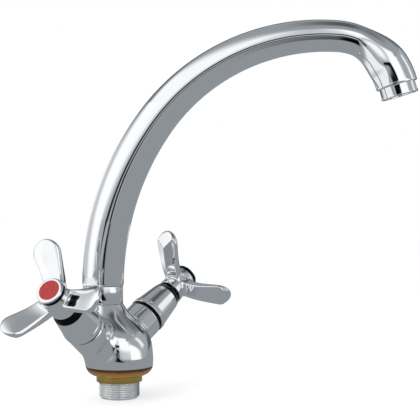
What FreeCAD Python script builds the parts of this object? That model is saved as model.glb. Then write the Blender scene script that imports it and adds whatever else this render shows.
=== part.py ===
import FreeCAD, Part
import math
import os
import Sketcher
from FreeCAD import Placement, Rotation, Vector

# Two-handle kitchen mixer tap with a swivelling swan-neck spout.
# Millimetres. The origin is where the threaded shank leaves the base flange, on the shank's axis:
# the plane of the worktop. +Z is up, -Y is towards the user, the hot side is at -X.

doc = FreeCAD.newDocument("kitchen_mixer_tap")
sheet = doc.addObject("Spreadsheet::Sheet", "Sizes")

SIZES = [
    # base: shank, flange and casting rim
    ("shank_radius", 14.0, "outside of the M28 thread under the worktop"),
    ("shank_length", 11.4, "below the flange collar"),
    ("shank_chamfer", 1.8, "at the lower end"),
    ("shank_upper_radius", 13.2, "part screwed up into the casting"),
    ("shank_upper_length", 20.5, "above the worktop plane"),
    ("shank_bore", 11.7, "radius of the hose passage"),
    ("collar_radius", 15.7, "centring collar of the brass flange"),
    ("collar_height", 4.2, ""),
    ("collar_chamfer", 0.9, "entry of the flange's thread, at its lower end"),
    ("flange_height", 10.5, "worktop plane to the chrome rim"),
    ("bowl_radius", 7.6, "curve of the flange between collar and rim"),
    ("rim_radius", 23.1, "foot of the casting and top of the flange"),
    ("seal_groove_radius", 18.5, "centre line of the flange seal"),
    ("seal_thickness", 1.8, "cord of the flange seal"),
    ("shank_end_gap", 0.3, "above the shank's upper end"),
    ("thread_gap", 0.05, "between screwed pieces"),
    ("running_gap", 0.06, "between turning pieces"),
    # casting
    ("trunk_height", 42.1, "chrome rim to the underside of the spout collar"),
    ("neck_offset", 14.0, "spout axis behind the shank axis"),
    ("neck_radius", 13.7, "top of the trunk"),
    ("waist_radius", 18.6, "trunk at three quarters of its height"),
    ("shoulder_radius", 23.2, "trunk just below the arms"),
    ("arm_radius", 13.6, "outside of each arm"),
    ("arm_reach", 41.7, "arm junction to the arm's end face"),
    ("arm_elevation", 32.7, "degrees above the horizontal"),
    ("arm_sweep", 9.2, "degrees that each arm turns to the front"),
    ("arm_origin_back", 8.8, "arm junction behind the shank axis"),
    ("arm_origin_height", 7.0, "arm junction above the chrome rim"),
    ("arm_start", 9.5, "arm junction to the arm's inner end, inside the trunk"),
    ("arm_blend", 4.0, "casting fillet between arm and trunk"),
    ("socket_radius", 10.5, "thread bore for the headwork"),
    ("socket_depth", 15.5, "arm's end face to the valve seat"),
    ("inlet_radius", 4.6, "M10 x 1 thread bore for a supply hose"),
    ("inlet_depth", 7.0, "thread for the hose"),
    ("inlet_well_radius", 3.6, "blind end above the thread"),
    ("inlet_well_depth", 5.2, ""),
    ("inlet_spacing", 11.6, "centre to centre"),
    ("waterway_radius", 2.8, "drilled channels inside the casting"),
    ("port_reach", 6.5, "arm axis to the outlet channel's mouth in the socket"),
    ("port_height", 4.5, "the mouth above the valve seat"),
    # neck, collar nut and tailpiece
    ("spigot_radius", 12.2, "threaded top of the casting inside the collar nut"),
    ("spigot_height", 7.6, ""),
    ("neck_bore", 9.0, "bore that the tailpiece turns in"),
    ("neck_bore_depth", 20.0, ""),
    ("collar_nut_radius", 13.85, ""),
    ("collar_nut_height", 12.2, ""),
    ("collar_nut_lip", 2.0, "top wall over the tailpiece shoulder"),
    ("collar_nut_gap", 0.15, "shadow line between casting and nut"),
    ("collar_nut_lip_gap", 0.4, "round the tailpiece in the nut's lip"),
    ("slip_ring_inset", 0.3, "slip rings inside the nut's thread"),
    ("slip_ring_thickness", 0.7, ""),
    ("shoulder_thickness", 1.4, "tailpiece shoulder between the slip rings"),
    ("tailpiece_depth", 14.5, "below the shoulder"),
    ("tailpiece_rise", 11.0, "above the collar nut, inside the spout"),
    ("tailpiece_bore", 6.3, ""),
    ("oring_cord", 2.0, "cord thickness of the tailpiece seals"),
    ("oring_pitch", 5.5, "between the two tailpiece seals"),
    ("oring_first", 3.5, "lower end of the tailpiece to the first seal"),
    # spout
    ("spout_gap", 0.25, "between collar nut and spout"),
    ("spout_foot_radius", 14.4, ""),
    ("spout_throat_radius", 10.5, "slimmest place, before the nose"),
    ("spout_nose_radius", 14.2, "outlet end"),
    ("spout_wall", 2.0, ""),
    ("lower_bend_radius", 193.0, ""),
    ("lower_bend_angle", 35.7, "degrees"),
    ("upper_bend_radius", 141.0, ""),
    ("upper_bend_angle", 58.6, "degrees"),
    ("nose_bend_radius", 45.4, ""),
    ("nose_bend_angle", 69.4, "degrees"),
    ("nose_straight", 1.2, ""),
    ("spout_swivel", 29.0, "degrees from the front at rest, towards the cold side"),
    # aerator
    ("aerator_radius", 12.8, "visible ring"),
    ("aerator_height", 7.7, "visible ring below the nose"),
    ("aerator_thread_radius", 11.9, "M24 thread"),
    ("aerator_thread_length", 6.2, ""),
    ("aerator_bore", 10.4, ""),
    ("aerator_lip_radius", 9.5, "opening at the bottom"),
    ("aerator_lip_height", 1.6, ""),
    ("aerator_edge", 0.5, "chamfer round the lower edge"),
    ("aerator_flat", 11.9, "axis to each wrench flat"),
    ("aerator_flat_start", 0.6, "nose to the top of a wrench flat"),
    ("aerator_flat_height", 5.3, ""),
    ("washer_thickness", 1.6, "rubber washer above the aerator"),
    ("washer_bore", 8.6, ""),
    ("washer_inset", 0.1, "inside the nose's thread"),
    ("washer_end_gap", 0.3, "above the washer"),
    ("screen_thickness", 0.6, ""),
    ("screen_hole", 1.15, "hole radius"),
    ("insert_height", 8.6, "flow former"),
    ("insert_flange", 1.8, "thickness of its upper rim"),
    ("insert_inset", 0.65, "lower part inside the rim"),
    ("insert_hole", 1.4, "hole radius"),
    # headwork: everything is measured along the arm's axis from the arm junction
    ("seat_seal_height", 1.6, ""),
    ("disc_radius", 8.2, "ceramic discs"),
    ("disc_thickness", 2.4, ""),
    ("disc_gap", 0.02, "water film between the discs"),
    ("disc_window_radius", 6.0, ""),
    ("disc_window_angle", 76.0, "degrees of each window"),
    ("disc_web", 1.8, "radius of the web between the windows"),
    ("seat_seal_width", 2.6, ""),
    ("chamber_room", 1.6, "above the moving disc"),
    ("port_radius", 2.4, "side openings of the headwork"),
    ("headwork_hex", 10.6, "corner radius of the headwork's hexagon"),
    ("headwork_hex_height", 4.5, ""),
    ("headwork_neck_radius", 7.4, ""),
    ("headwork_neck_top", 68.0, ""),
    ("spindle_radius", 4.55, ""),
    ("spline_radius", 3.9, "end that carries the handle"),
    ("spindle_top", 86.0, ""),
    ("spindle_foot_radius", 7.05, "driver that turns the moving disc"),
    ("spindle_foot_height", 1.2, ""),
    ("drive_slot_width", 2.6, "slot in the moving disc that the spindle's tang turns"),
    ("drive_slot_length", 13.0, ""),
    ("drive_slot_depth", 1.1, ""),
    ("stop_ear_radius", 8.1, "two ears of the spindle's foot that meet the stops"),
    ("stop_ear_angle", 40.0, "degrees"),
    ("stop_radius", 7.2, "inner side of the two stops in the headwork"),
    ("stop_angle", 49.0, "degrees; half a turn less ear and stop leaves the quarter turn"),
    ("stop_root", 0.4, "depth of a stop in the headwork's wall and ceiling"),
    ("stop_play", 0.5, "degrees between an ear and a stop in either end position"),
    ("spindle_cord", 1.6, "cord thickness of the spindle seal"),
    ("spindle_seal_depth", 8.0, "headwork's top to the spindle seal"),
    ("clip_thickness", 0.9, "retaining clip above the headwork"),
    ("clip_radius", 6.5, ""),
    ("clip_depth", 0.8, "clip groove in the spindle"),
    ("clip_mouth", 3.2, "open side of the clip"),
    ("spline_collar", 1.2, "full spindle above the clip"),
    ("spline_taper", 0.6, ""),
    # sleeve
    ("sleeve_foot_radius", 12.9, "shadow groove above the arm's end face"),
    ("sleeve_foot_height", 1.8, ""),
    ("sleeve_band_radius", 13.85, ""),
    ("sleeve_band_height", 3.8, ""),
    ("sleeve_top", 65.5, "crisp edge at the top of the taper"),
    ("sleeve_top_radius", 10.95, ""),
    ("sleeve_shoulder_top", 70.3, ""),
    ("sleeve_shoulder_radius", 8.9, ""),
    ("sleeve_wall", 1.3, ""),
    ("sleeve_gap", 0.1, "between the arm's end face and the sleeve"),
    ("sleeve_band_start", 0.3, "slope from the shadow groove to the band"),
    ("sleeve_band_edge", 0.5, "chamfer at the top of the band"),
    ("sleeve_thread_length", 7.8, "screwed onto the headwork's neck"),
    # handle
    ("skirt_start", 71.9, "lower rim of the handle"),
    ("skirt_radius", 9.7, ""),
    ("skirt_edge", 0.4, "chamfer round the lower rim"),
    ("skirt_height", 1.6, ""),
    ("skirt_wall", 1.4, ""),
    ("skirt_depth", 3.0, "hollow over the clip"),
    ("hub_curve", 18.0, "waist radius, below and above"),
    ("hub_waist_radius", 8.6, ""),
    ("hub_waist", 79.5, ""),
    ("head_radius", 9.35, "round head that holds the index cap"),
    ("head_start", 86.5, ""),
    ("head_top", 93.9, ""),
    ("bezel_curve", 1.35, "rounded edge of the head"),
    ("bezel_drop", 1.3, ""),
    ("bezel_inset", 1.2, ""),
    ("lobe_reach", 38.8, "handle axis to the tip of a lobe"),
    ("lobe_root_height", 82.5, "lobe centre where it leaves the hub"),
    ("lobe_tip_height", 94.4, "lobe centre at its tip"),
    ("lobe_root_width", 13.0, ""),
    ("lobe_tip_width", 17.2, ""),
    ("lobe_root_thickness", 9.2, ""),
    ("lobe_tip_thickness", 8.0, ""),
    ("hot_handle_phase", 23.3, "degrees that the hot handle is set round on its spindle"),
    ("cold_handle_phase", -2.5, "the same for the cold handle"),
    ("cap_radius", 6.75, "coloured index disc"),
    ("cap_recess", 2.4, ""),
    ("cap_crown", 0.15, "cap above the head's face"),
    ("cap_edge", 0.3, "chamfer"),
    ("cap_skin", 0.6, "thickness above the stem's hollow"),
    ("cap_stem_radius", 4.1, ""),
    ("cap_stem_wall", 1.1, ""),
    ("cap_stem_length", 1.6, ""),
    ("screw_head_radius", 3.6, ""),
    ("screw_head_height", 2.2, ""),
    ("screw_radius", 2.0, ""),
    ("screw_length", 9.0, ""),
    ("screw_hole_gap", 0.15, "round the screw in the handle"),
    ("spline_end_gap", 0.3, "above the spindle in the handle"),
    ("screw_seat", 1.2, "handle wall under the screw's head"),
]


class Size:
    """A length or an angle together with the sheet expression that gives it."""

    def __init__(self, value, text):
        self.value = float(value)
        self.text = text

    @staticmethod
    def of(number):
        return number if isinstance(number, Size) else Size(number, repr(float(number)))

    def __add__(self, other):
        other = Size.of(other)
        return Size(self.value + other.value, "(%s + %s)" % (self.text, other.text))

    def __sub__(self, other):
        other = Size.of(other)
        return Size(self.value - other.value, "(%s - %s)" % (self.text, other.text))

    def __mul__(self, factor):
        factor = Size.of(factor)
        return Size(self.value * factor.value, "(%s * %s)" % (self.text, factor.text))

    def __neg__(self):
        return self * -1.0

    def __float__(self):
        return self.value


class Named:
    """The sheet's sizes as attributes."""


size = Named()
for row, (alias, number, meaning) in enumerate(SIZES, start=1):
    sheet.set("A%d" % row, alias)
    sheet.set("B%d" % row, str(number))
    sheet.set("C%d" % row, meaning)
    sheet.setAlias("B%d" % row, alias)
    setattr(size, alias, Size(number, "Sizes." + alias))
doc.recompute()

parts = []

PAST = 1.0  # how far a cutting tool runs past the face that it opens


def finished(item, name, place=Placement()):
    """Give a piece its name and its place, and keep it for the export."""
    item.Label = name
    item.Placement = place
    parts.append(item)
    return item


def bound(type_name, name, place=Placement(), **sizes):
    """A Part primitive whose properties are bound to the sheet."""
    item = doc.addObject(type_name, name)
    for key, amount in sizes.items():
        if isinstance(amount, Size):
            item.setExpression(key, amount.text)
        else:
            setattr(item, key, amount)
    item.Placement = place
    return item


def origin_plane(body, role):
    return [plane for plane in body.Origin.OriginFeatures if plane.Role == role][0]


def arc_between(start, end, bend):
    """Arc from start to end with radius abs(bend); it turns left where bend is positive."""
    half = (end - start) * 0.5
    across = Vector(-half.y, half.x, 0).normalize()
    rise = math.sqrt(max(bend * bend - half.Length ** 2, 1e-9))
    centre = start + half + across * (rise if bend > 0 else -rise)
    angles = [math.atan2(p.y - centre.y, p.x - centre.x) for p in (start, end)]
    if bend < 0:
        angles.reverse()
    circle = Part.Circle(centre, Vector(0, 0, 1), abs(bend))
    return Part.ArcOfCircle(circle, angles[0], angles[1])


def turned(name, outline):
    """A lathe-turned body. Each corner is (radius, height), or (radius, height, bend) where an arc
    with the signed radius bend leads to it from the corner before."""
    body = doc.addObject("PartDesign::Body", name)
    sketch = body.newObject("Sketcher::SketchObject", name + "_outline")
    sketch.AttachmentSupport = (origin_plane(body, "XZ_Plane"), [""])
    sketch.MapMode = "FlatFace"
    points = [Vector(float(corner[0]), float(corner[1]), 0) for corner in outline]
    count = len(outline)
    ends = []
    for index, corner in enumerate(outline):
        start, end = points[index - 1], points[index]
        if len(corner) == 3:
            bend = corner[2]
            line = sketch.addGeometry(arc_between(start, end, float(bend)), False)
            ends.append((line, 1, 2) if float(bend) > 0 else (line, 2, 1))
            rule = sketch.addConstraint(Sketcher.Constraint("Radius", line, abs(float(bend))))
            sketch.setExpression("Constraints[%d]" % rule, (bend if float(bend) > 0 else -bend).text)
        else:
            line = sketch.addGeometry(Part.LineSegment(start, end), False)
            ends.append((line, 1, 2))
    for index in range(count):
        line, _, last = ends[index]
        following, first, _ = ends[(index + 1) % count]
        sketch.addConstraint(Sketcher.Constraint("Coincident", line, last, following, first))
        radius, height = outline[index][:2]
        for kind, axis, amount in (("DistanceX", -2, radius), ("DistanceY", -1, height)):
            if isinstance(amount, Size):
                rule = sketch.addConstraint(Sketcher.Constraint(kind, -1, 1, line, last, float(amount)))
                sketch.setExpression("Constraints[%d]" % rule, amount.text)
            else:
                sketch.addConstraint(Sketcher.Constraint("PointOnObject", line, last, axis))
    turn = body.newObject("PartDesign::Revolution", name + "_turn")
    turn.Profile = sketch
    turn.ReferenceAxis = (sketch, ["V_Axis"])
    turn.Angle = 360.0
    sketch.Visibility = False
    return body


def cut(name, base, tools):
    """Base less all tools."""
    tool = tools[0]
    if len(tools) > 1:
        tool = doc.addObject("Part::MultiFuse", name + "_tools")
        tool.Shapes = tools
    item = doc.addObject("Part::Cut", name)
    item.Base = base
    item.Tool = tool
    return item


def fuse(name, items):
    item = doc.addObject("Part::MultiFuse", name)
    item.Shapes = items
    return item


def direction(azimuth, elevation):
    a, e = math.radians(azimuth), math.radians(elevation)
    return Vector(math.cos(a) * math.cos(e), math.sin(a) * math.cos(e), math.sin(e))


def frame_along(origin, axis):
    """Placement whose Z runs along axis and whose X points as far up as it can."""
    up = Vector(0, 0, 1) - axis * axis.z
    return Placement(origin, Rotation(up, axis.cross(up), axis, "ZXY"))


def lifted(frame, height):
    return frame.multiply(Placement(Vector(0, 0, float(height)), Rotation()))


def turned_up(height, angle):
    """Placement on the axis at a height, turned round it by an angle in degrees."""
    return Placement(Vector(0, 0, float(height)), Rotation(Vector(0, 0, 1), float(angle)))


def drilled(name, start, end, radius):
    """A straight channel between two points of the part's frame."""
    run = end - start
    place = Placement(start, Rotation(Vector(0, 0, 1), run))
    return bound("Part::Cylinder", name, place, Radius=radius, Height=run.Length)


# Frames of the main axes
rim_height = size.flange_height
neck_height = rim_height + size.trunk_height
neck_frame = Placement(Vector(0, float(size.neck_offset), 0), Rotation())
junction = Vector(0, float(size.arm_origin_back), float(rim_height + size.arm_origin_height))
arm_frames = {
    "hot": frame_along(junction, direction(180 + float(size.arm_sweep), float(size.arm_elevation))),
    "cold": frame_along(junction, direction(-float(size.arm_sweep), float(size.arm_elevation))),
}


# Threaded shank
def threaded_shank():
    tip = size.shank_radius - size.shank_chamfer
    item = turned("threaded_shank", [
        (size.shank_bore, -size.shank_length),
        (tip, -size.shank_length),
        (size.shank_radius, size.shank_chamfer - size.shank_length),
        (size.shank_radius, 0),
        (size.shank_upper_radius, 0),
        (size.shank_upper_radius, size.shank_upper_length),
        (size.shank_bore, size.shank_upper_length),
    ])
    finished(item, "threaded_shank")


# Dished brass flange with its centring collar, and the seal in its top face
def base_flange():
    bore = size.shank_upper_radius + size.thread_gap
    groove_in = size.seal_groove_radius - size.seal_thickness * 0.5
    groove_out = size.seal_groove_radius + size.seal_thickness * 0.5
    groove_floor = rim_height - size.seal_thickness
    item = turned("base_flange", [
        (bore, size.collar_chamfer),
        (bore + size.collar_chamfer, 0),
        (size.collar_radius, 0),
        (size.collar_radius, size.collar_height),
        (size.rim_radius, rim_height, size.bowl_radius),
        (groove_out, rim_height),
        (groove_out, groove_floor),
        (groove_in, groove_floor),
        (groove_in, rim_height),
        (bore, rim_height),
    ])
    finished(item, "base_flange")
    seal = bound("Part::Torus", "flange_seal", Radius1=size.seal_groove_radius,
                 Radius2=size.seal_thickness * 0.5)
    finished(seal, "flange_seal", Placement(Vector(0, 0, float(rim_height - size.seal_thickness * 0.5)),
                                            Rotation()))


# Body casting: trunk, neck spigot and two arms, drilled for the water
def body_casting():
    trunk_stations = [
        (0.0, 0.0, size.rim_radius),
        (0.035, 0.0, size.rim_radius + 0.15),
        (0.24, 0.04, size.shoulder_radius + 0.2),
        (0.43, 0.15, size.shoulder_radius),
        (0.60, 0.36, (size.shoulder_radius + size.waist_radius) * 0.5 + 0.6),
        (0.74, 0.61, size.waist_radius),
        (0.86, 0.82, (size.waist_radius + size.neck_radius) * 0.5 - 0.3),
        (1.0, 1.0, size.neck_radius),
    ]
    rings = []
    for index, (rise, back, radius) in enumerate(trunk_stations):
        ring = bound("Part::Circle", "trunk_ring_%d" % index, Radius=radius)
        ring.setExpression("Placement.Base.y", (size.neck_offset * back).text)
        ring.setExpression("Placement.Base.z", (rim_height + size.trunk_height * rise).text)
        rings.append(ring)
    trunk = doc.addObject("Part::Loft", "trunk")
    trunk.Sections = rings
    trunk.Solid = True
    trunk.Ruled = False
    arms = [bound("Part::Cylinder", side + "_arm", lifted(frame, size.arm_start), Radius=size.arm_radius,
                  Height=size.arm_reach - size.arm_start) for side, frame in arm_frames.items()]
    outer = fuse("casting_outside", [trunk] + arms)
    doc.recompute()
    blended = doc.addObject("Part::Fillet", "casting_blends")
    blended.Base = outer
    blended.Edges = [(index, float(size.arm_blend), float(size.arm_blend))
                     for index in meeting_edges(outer.Shape)]
    spigot = bound("Part::Cylinder", "neck_spigot", lifted(neck_frame, neck_height - PAST),
                   Radius=size.spigot_radius, Height=size.spigot_height + PAST)
    solid = fuse("casting_solid", [blended, spigot])
    inlet_mouth = size.shank_upper_length + size.shank_end_gap
    inlet_end = inlet_mouth + size.inlet_depth
    tools = [bound("Part::Cylinder", "shank_socket", lifted(Placement(), rim_height - PAST),
                   Radius=size.shank_upper_radius + size.thread_gap,
                   Height=inlet_mouth - rim_height + PAST)]
    bore_floor = neck_height + size.spigot_height - size.neck_bore_depth
    tools.append(bound("Part::Cylinder", "neck_bore_cut", lifted(neck_frame, bore_floor),
                       Radius=size.neck_bore, Height=size.neck_bore_depth + PAST))
    neck_well = Vector(0, float(size.neck_offset), float(bore_floor + size.waterway_radius))
    for side, hand in (("hot", -1), ("cold", 1)):
        frame = arm_frames[side]
        seat = size.arm_reach - size.socket_depth
        tools.append(bound("Part::Cylinder", side + "_socket", lifted(frame, seat),
                           Radius=size.socket_radius, Height=size.socket_depth + PAST))
        inlet_x = float(size.inlet_spacing) * 0.5 * hand
        inlet_axis = Placement(Vector(inlet_x, 0, 0), Rotation())
        tools.append(bound("Part::Cylinder", side + "_inlet", lifted(inlet_axis, inlet_mouth - PAST),
                           Radius=size.inlet_radius, Height=size.inlet_depth + PAST))
        tools.append(bound("Part::Cylinder", side + "_inlet_well", lifted(inlet_axis, inlet_end - PAST),
                           Radius=size.inlet_well_radius, Height=size.inlet_well_depth + PAST))
        seat_centre = frame.multVec(Vector(0, 0, float(seat) + PAST * 0.5))
        well = Vector(inlet_x, 0, float(inlet_end + size.inlet_well_depth * 0.5))
        tools.append(drilled(side + "_feed", well, seat_centre, size.waterway_radius))
        port = frame.multVec(Vector(float(size.port_reach), 0, float(seat + size.port_height)))
        tools.append(drilled(side + "_outlet", neck_well, port, size.waterway_radius))
    finished(cut("body_casting", solid, tools), "body_casting")


def meeting_edges(shape):
    """Numbers of the edges where an arm's round side meets the trunk."""
    found = []
    for number, edge in enumerate(shape.Edges, start=1):
        faces = [face for face in shape.Faces if any(edge.isSame(other) for other in face.Edges)]
        kinds = sorted(type(face.Surface).__name__ for face in faces)
        if kinds in (["BSplineSurface", "Cylinder"], ["Cylinder", "Cylinder"]) and len(faces) == 2:
            if not faces[0].isSame(faces[1]):
                found.append(number)
    return found


# Collar nut, tailpiece, slip rings and seals that let the spout swivel
def swivel_joint():
    spigot_top = neck_height + size.spigot_height
    shoulder = spigot_top + size.slip_ring_thickness + size.running_gap
    shoulder_top = shoulder + size.shoulder_thickness
    upper_ring = shoulder_top + size.running_gap
    nut_foot = neck_height + size.collar_nut_gap
    nut_top = nut_foot + size.collar_nut_height
    lip_under = nut_top - size.collar_nut_lip
    lip_bore = size.neck_bore + size.collar_nut_lip_gap
    nut = turned("spout_collar", [
        (size.spigot_radius + size.thread_gap, nut_foot),
        (size.collar_nut_radius, nut_foot),
        (size.collar_nut_radius, nut_top),
        (lip_bore, nut_top),
        (lip_bore, lip_under),
        (size.spigot_radius + size.thread_gap, lip_under),
    ])
    finished(nut, "spout_collar", neck_frame)
    ring_outer = size.spigot_radius - size.slip_ring_inset
    lower = turned("lower_slip_ring", [
        (lip_bore, spigot_top),
        (ring_outer, spigot_top),
        (ring_outer, spigot_top + size.slip_ring_thickness),
        (lip_bore, spigot_top + size.slip_ring_thickness),
    ])
    finished(lower, "lower_slip_ring", neck_frame)
    upper = turned("upper_slip_ring", [
        (lip_bore, upper_ring),
        (ring_outer, upper_ring),
        (ring_outer, lip_under),
        (lip_bore, lip_under),
    ])
    finished(upper, "upper_slip_ring", neck_frame)

    body = size.neck_bore - size.running_gap
    groove = body - size.oring_cord
    foot = shoulder - size.tailpiece_depth
    lower_seal = foot + size.oring_first
    upper_seal = lower_seal + size.oring_pitch
    half = size.oring_cord * 0.5
    outline = [(size.tailpiece_bore, foot), (body, foot)]
    for seal in (lower_seal, upper_seal):
        outline += [(body, seal - half), (groove, seal - half), (groove, seal + half), (body, seal + half)]
    outline += [
        (body, shoulder),
        (ring_outer, shoulder),
        (ring_outer, shoulder_top),
        (body, shoulder_top),
        (body, nut_top + size.tailpiece_rise),
        (size.tailpiece_bore, nut_top + size.tailpiece_rise),
    ]
    finished(turned("spout_tailpiece", outline), "spout_tailpiece", neck_frame)
    for name, seal in (("lower_spout_seal", lower_seal), ("upper_spout_seal", upper_seal)):
        ring = bound("Part::Torus", name, Radius1=body - half, Radius2=half)
        finished(ring, name, lifted(neck_frame, seal))
    return nut_top


# Shares of the spout's length where its taper starts and ends, and where the nose has its full width
TAPER_START, TAPER_END, FLARE_END = 0.14, 0.87, 0.955
# Circular sections before the nose and in it, for the outside and for the hollow
OUTER_SECTIONS, INNER_SECTIONS = (14, 8), (12, 3)


class SwanNeck:
    """Centre line of the spout in its own upright plane: three tangent arcs and a short straight."""

    def __init__(self, foot):
        self.foot = foot
        self.bends = [
            (float(size.lower_bend_radius), math.radians(float(size.lower_bend_angle))),
            (float(size.upper_bend_radius), math.radians(float(size.upper_bend_angle))),
            (float(size.nose_bend_radius), math.radians(float(size.nose_bend_angle))),
        ]
        self.straight = float(size.nose_straight)
        self.length = sum(radius * angle for radius, angle in self.bends) + self.straight
        self.outward = direction(-90 + float(size.spout_swivel), 0)

    def at(self, travelled):
        """Point and direction after a distance along the line."""
        reach, height, lean = 0.0, self.foot, 0.0
        left = travelled
        for radius, angle in self.bends:
            turn = min(left / radius, angle)
            reach += radius * (math.cos(lean) - math.cos(lean + turn))
            height += radius * (math.sin(lean + turn) - math.sin(lean))
            lean += turn
            left -= radius * turn
        reach += left * math.sin(lean)
        height += left * math.cos(lean)
        point = self.outward * reach + Vector(0, float(size.neck_offset), height)
        heading = self.outward * math.sin(lean) + Vector(0, 0, math.cos(lean))
        return point, heading

    def outer_radius(self, travelled):
        """An even foot, a long taper, and a flared nose."""
        flare = min(max(travelled / self.length - TAPER_END, 0) / (FLARE_END - TAPER_END), 1)
        swell = float(size.spout_nose_radius - size.spout_throat_radius)
        return self.taper(travelled) + swell * flare * flare * (3 - 2 * flare)

    def inner_radius(self, travelled):
        """The wall is even up to the nose, which is thick enough for the aerator's thread."""
        return self.taper(travelled) - float(size.spout_wall)

    def taper(self, travelled):
        share = min(max(travelled / self.length - TAPER_START, 0) / (TAPER_END - TAPER_START), 1)
        foot = float(size.spout_foot_radius)
        return foot + (float(size.spout_throat_radius) - foot) * share

    def tube(self, start, end, radius, counts):
        """Solid of circular sections between two distances along the line, closer set in the nose.
        The counts are the sections before the nose and in it."""
        arch, nose = counts
        turn = TAPER_END * self.length
        stops = [start + (turn - start) * index / arch for index in range(arch)]
        stops += [turn + (end - turn) * index / nose for index in range(nose + 1)]
        wires = []
        for travelled in stops:
            point, heading = self.at(travelled)
            wires.append(Part.Wire(Part.makeCircle(radius(travelled), point, heading)))
        return Part.makeLoft(wires, True, False)


def spout(nut_top):
    """Swan-neck spout with its tailpiece socket and the aerator's thread in the nose."""
    foot = float(nut_top + size.spout_gap)
    line = SwanNeck(foot)
    outside = line.tube(0, line.length, line.outer_radius, OUTER_SECTIONS)
    rise = float(size.tailpiece_rise)
    recess = float(size.aerator_thread_length + size.washer_thickness + size.washer_end_gap)
    hollow = line.tube(rise, line.length - recess + PAST, line.inner_radius, INNER_SECTIONS)
    socket = Part.makeCylinder(float(size.neck_bore - size.running_gap + size.thread_gap), rise + PAST,
                               Vector(0, float(size.neck_offset), foot - PAST))
    end, heading = line.at(line.length)
    nose = Part.makeCylinder(float(size.aerator_thread_radius + size.thread_gap), recess + PAST,
                             end - heading * recess, heading)
    item = doc.addObject("Part::Feature", "spout")
    item.Shape = outside.cut([hollow, socket, nose])
    finished(item, "spout")
    return frame_along(end, heading)


# Aerator: chromed ring, washer, flow former and screen, measured down from the nose's end face
def aerator(frame):
    top = -size.aerator_thread_length
    lip = size.aerator_height - size.aerator_lip_height
    ring = turned("aerator_ring", [
        (size.aerator_bore, top),
        (size.aerator_thread_radius, top),
        (size.aerator_thread_radius, 0),
        (size.aerator_radius, 0),
        (size.aerator_radius, size.aerator_height - size.aerator_edge),
        (size.aerator_radius - size.aerator_edge, size.aerator_height),
        (size.aerator_lip_radius, size.aerator_height),
        (size.aerator_lip_radius, lip),
        (size.aerator_bore, lip),
    ])
    flats = []
    for index, turn in enumerate((0, 180)):
        spin = Rotation(Vector(0, 0, 1), turn)
        corner = spin.multVec(Vector(float(size.aerator_flat), -float(size.aerator_radius),
                                     float(size.aerator_flat_start)))
        flats.append(bound("Part::Box", "wrench_flat_%d" % index, Placement(corner, spin),
                           Length=size.aerator_radius, Width=size.aerator_radius * 2,
                           Height=size.aerator_flat_height))
    finished(cut("aerator_housing", ring, flats), "aerator_housing", frame)
    washer_foot = top - size.thread_gap
    washer_top = washer_foot - size.washer_thickness
    washer = turned("aerator_washer", [
        (size.washer_bore, washer_top),
        (size.aerator_thread_radius - size.washer_inset, washer_top),
        (size.aerator_thread_radius - size.washer_inset, washer_foot),
        (size.washer_bore, washer_foot),
    ])
    finished(washer, "aerator_washer", frame)
    screen_top = lip - size.screen_thickness
    plate = bound("Part::Cylinder", "screen_plate", lifted(Placement(), screen_top),
                  Radius=size.aerator_bore - size.thread_gap, Height=size.screen_thickness)
    holes = hole_rings("screen", screen_top, size.screen_hole, size.screen_thickness,
                       ((1, 0.0), (6, 0.33), (12, 0.66)))
    finished(cut("aerator_screen", plate, holes), "aerator_screen", frame)
    former_top = screen_top - size.insert_height
    former = turned("former_body", [
        (0, former_top),
        (size.aerator_bore - size.thread_gap, former_top),
        (size.aerator_bore - size.thread_gap, former_top + size.insert_flange),
        (size.aerator_bore - size.insert_inset, former_top + size.insert_flange),
        (size.aerator_bore - size.insert_inset, screen_top),
        (0, screen_top),
    ])
    holes = hole_rings("former", former_top, size.insert_hole, size.insert_height, ((8, 0.62),))
    finished(cut("aerator_insert", former, holes), "aerator_insert", frame)


def hole_rings(name, start, radius, depth, rings):
    """Round holes on rings about the axis. Each ring is (count, share of the bore's radius)."""
    holes = []
    for count, share in rings:
        for index in range(count):
            angle = 2 * math.pi * index / count
            reach = float(size.aerator_bore) * share
            spot = Vector(reach * math.cos(angle), reach * math.sin(angle), float(start) - PAST)
            holes.append(bound("Part::Cylinder", "%s_hole_%d_%d" % (name, count, index),
                               Placement(spot, Rotation()), Radius=radius, Height=depth + PAST * 2))
    return holes


# The spindle's end and the hole for it in the handle are polygons, so that one turns the other
SPLINE_SIDES = 12
QUARTER_TURN = 90  # degrees from closed to open


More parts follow.
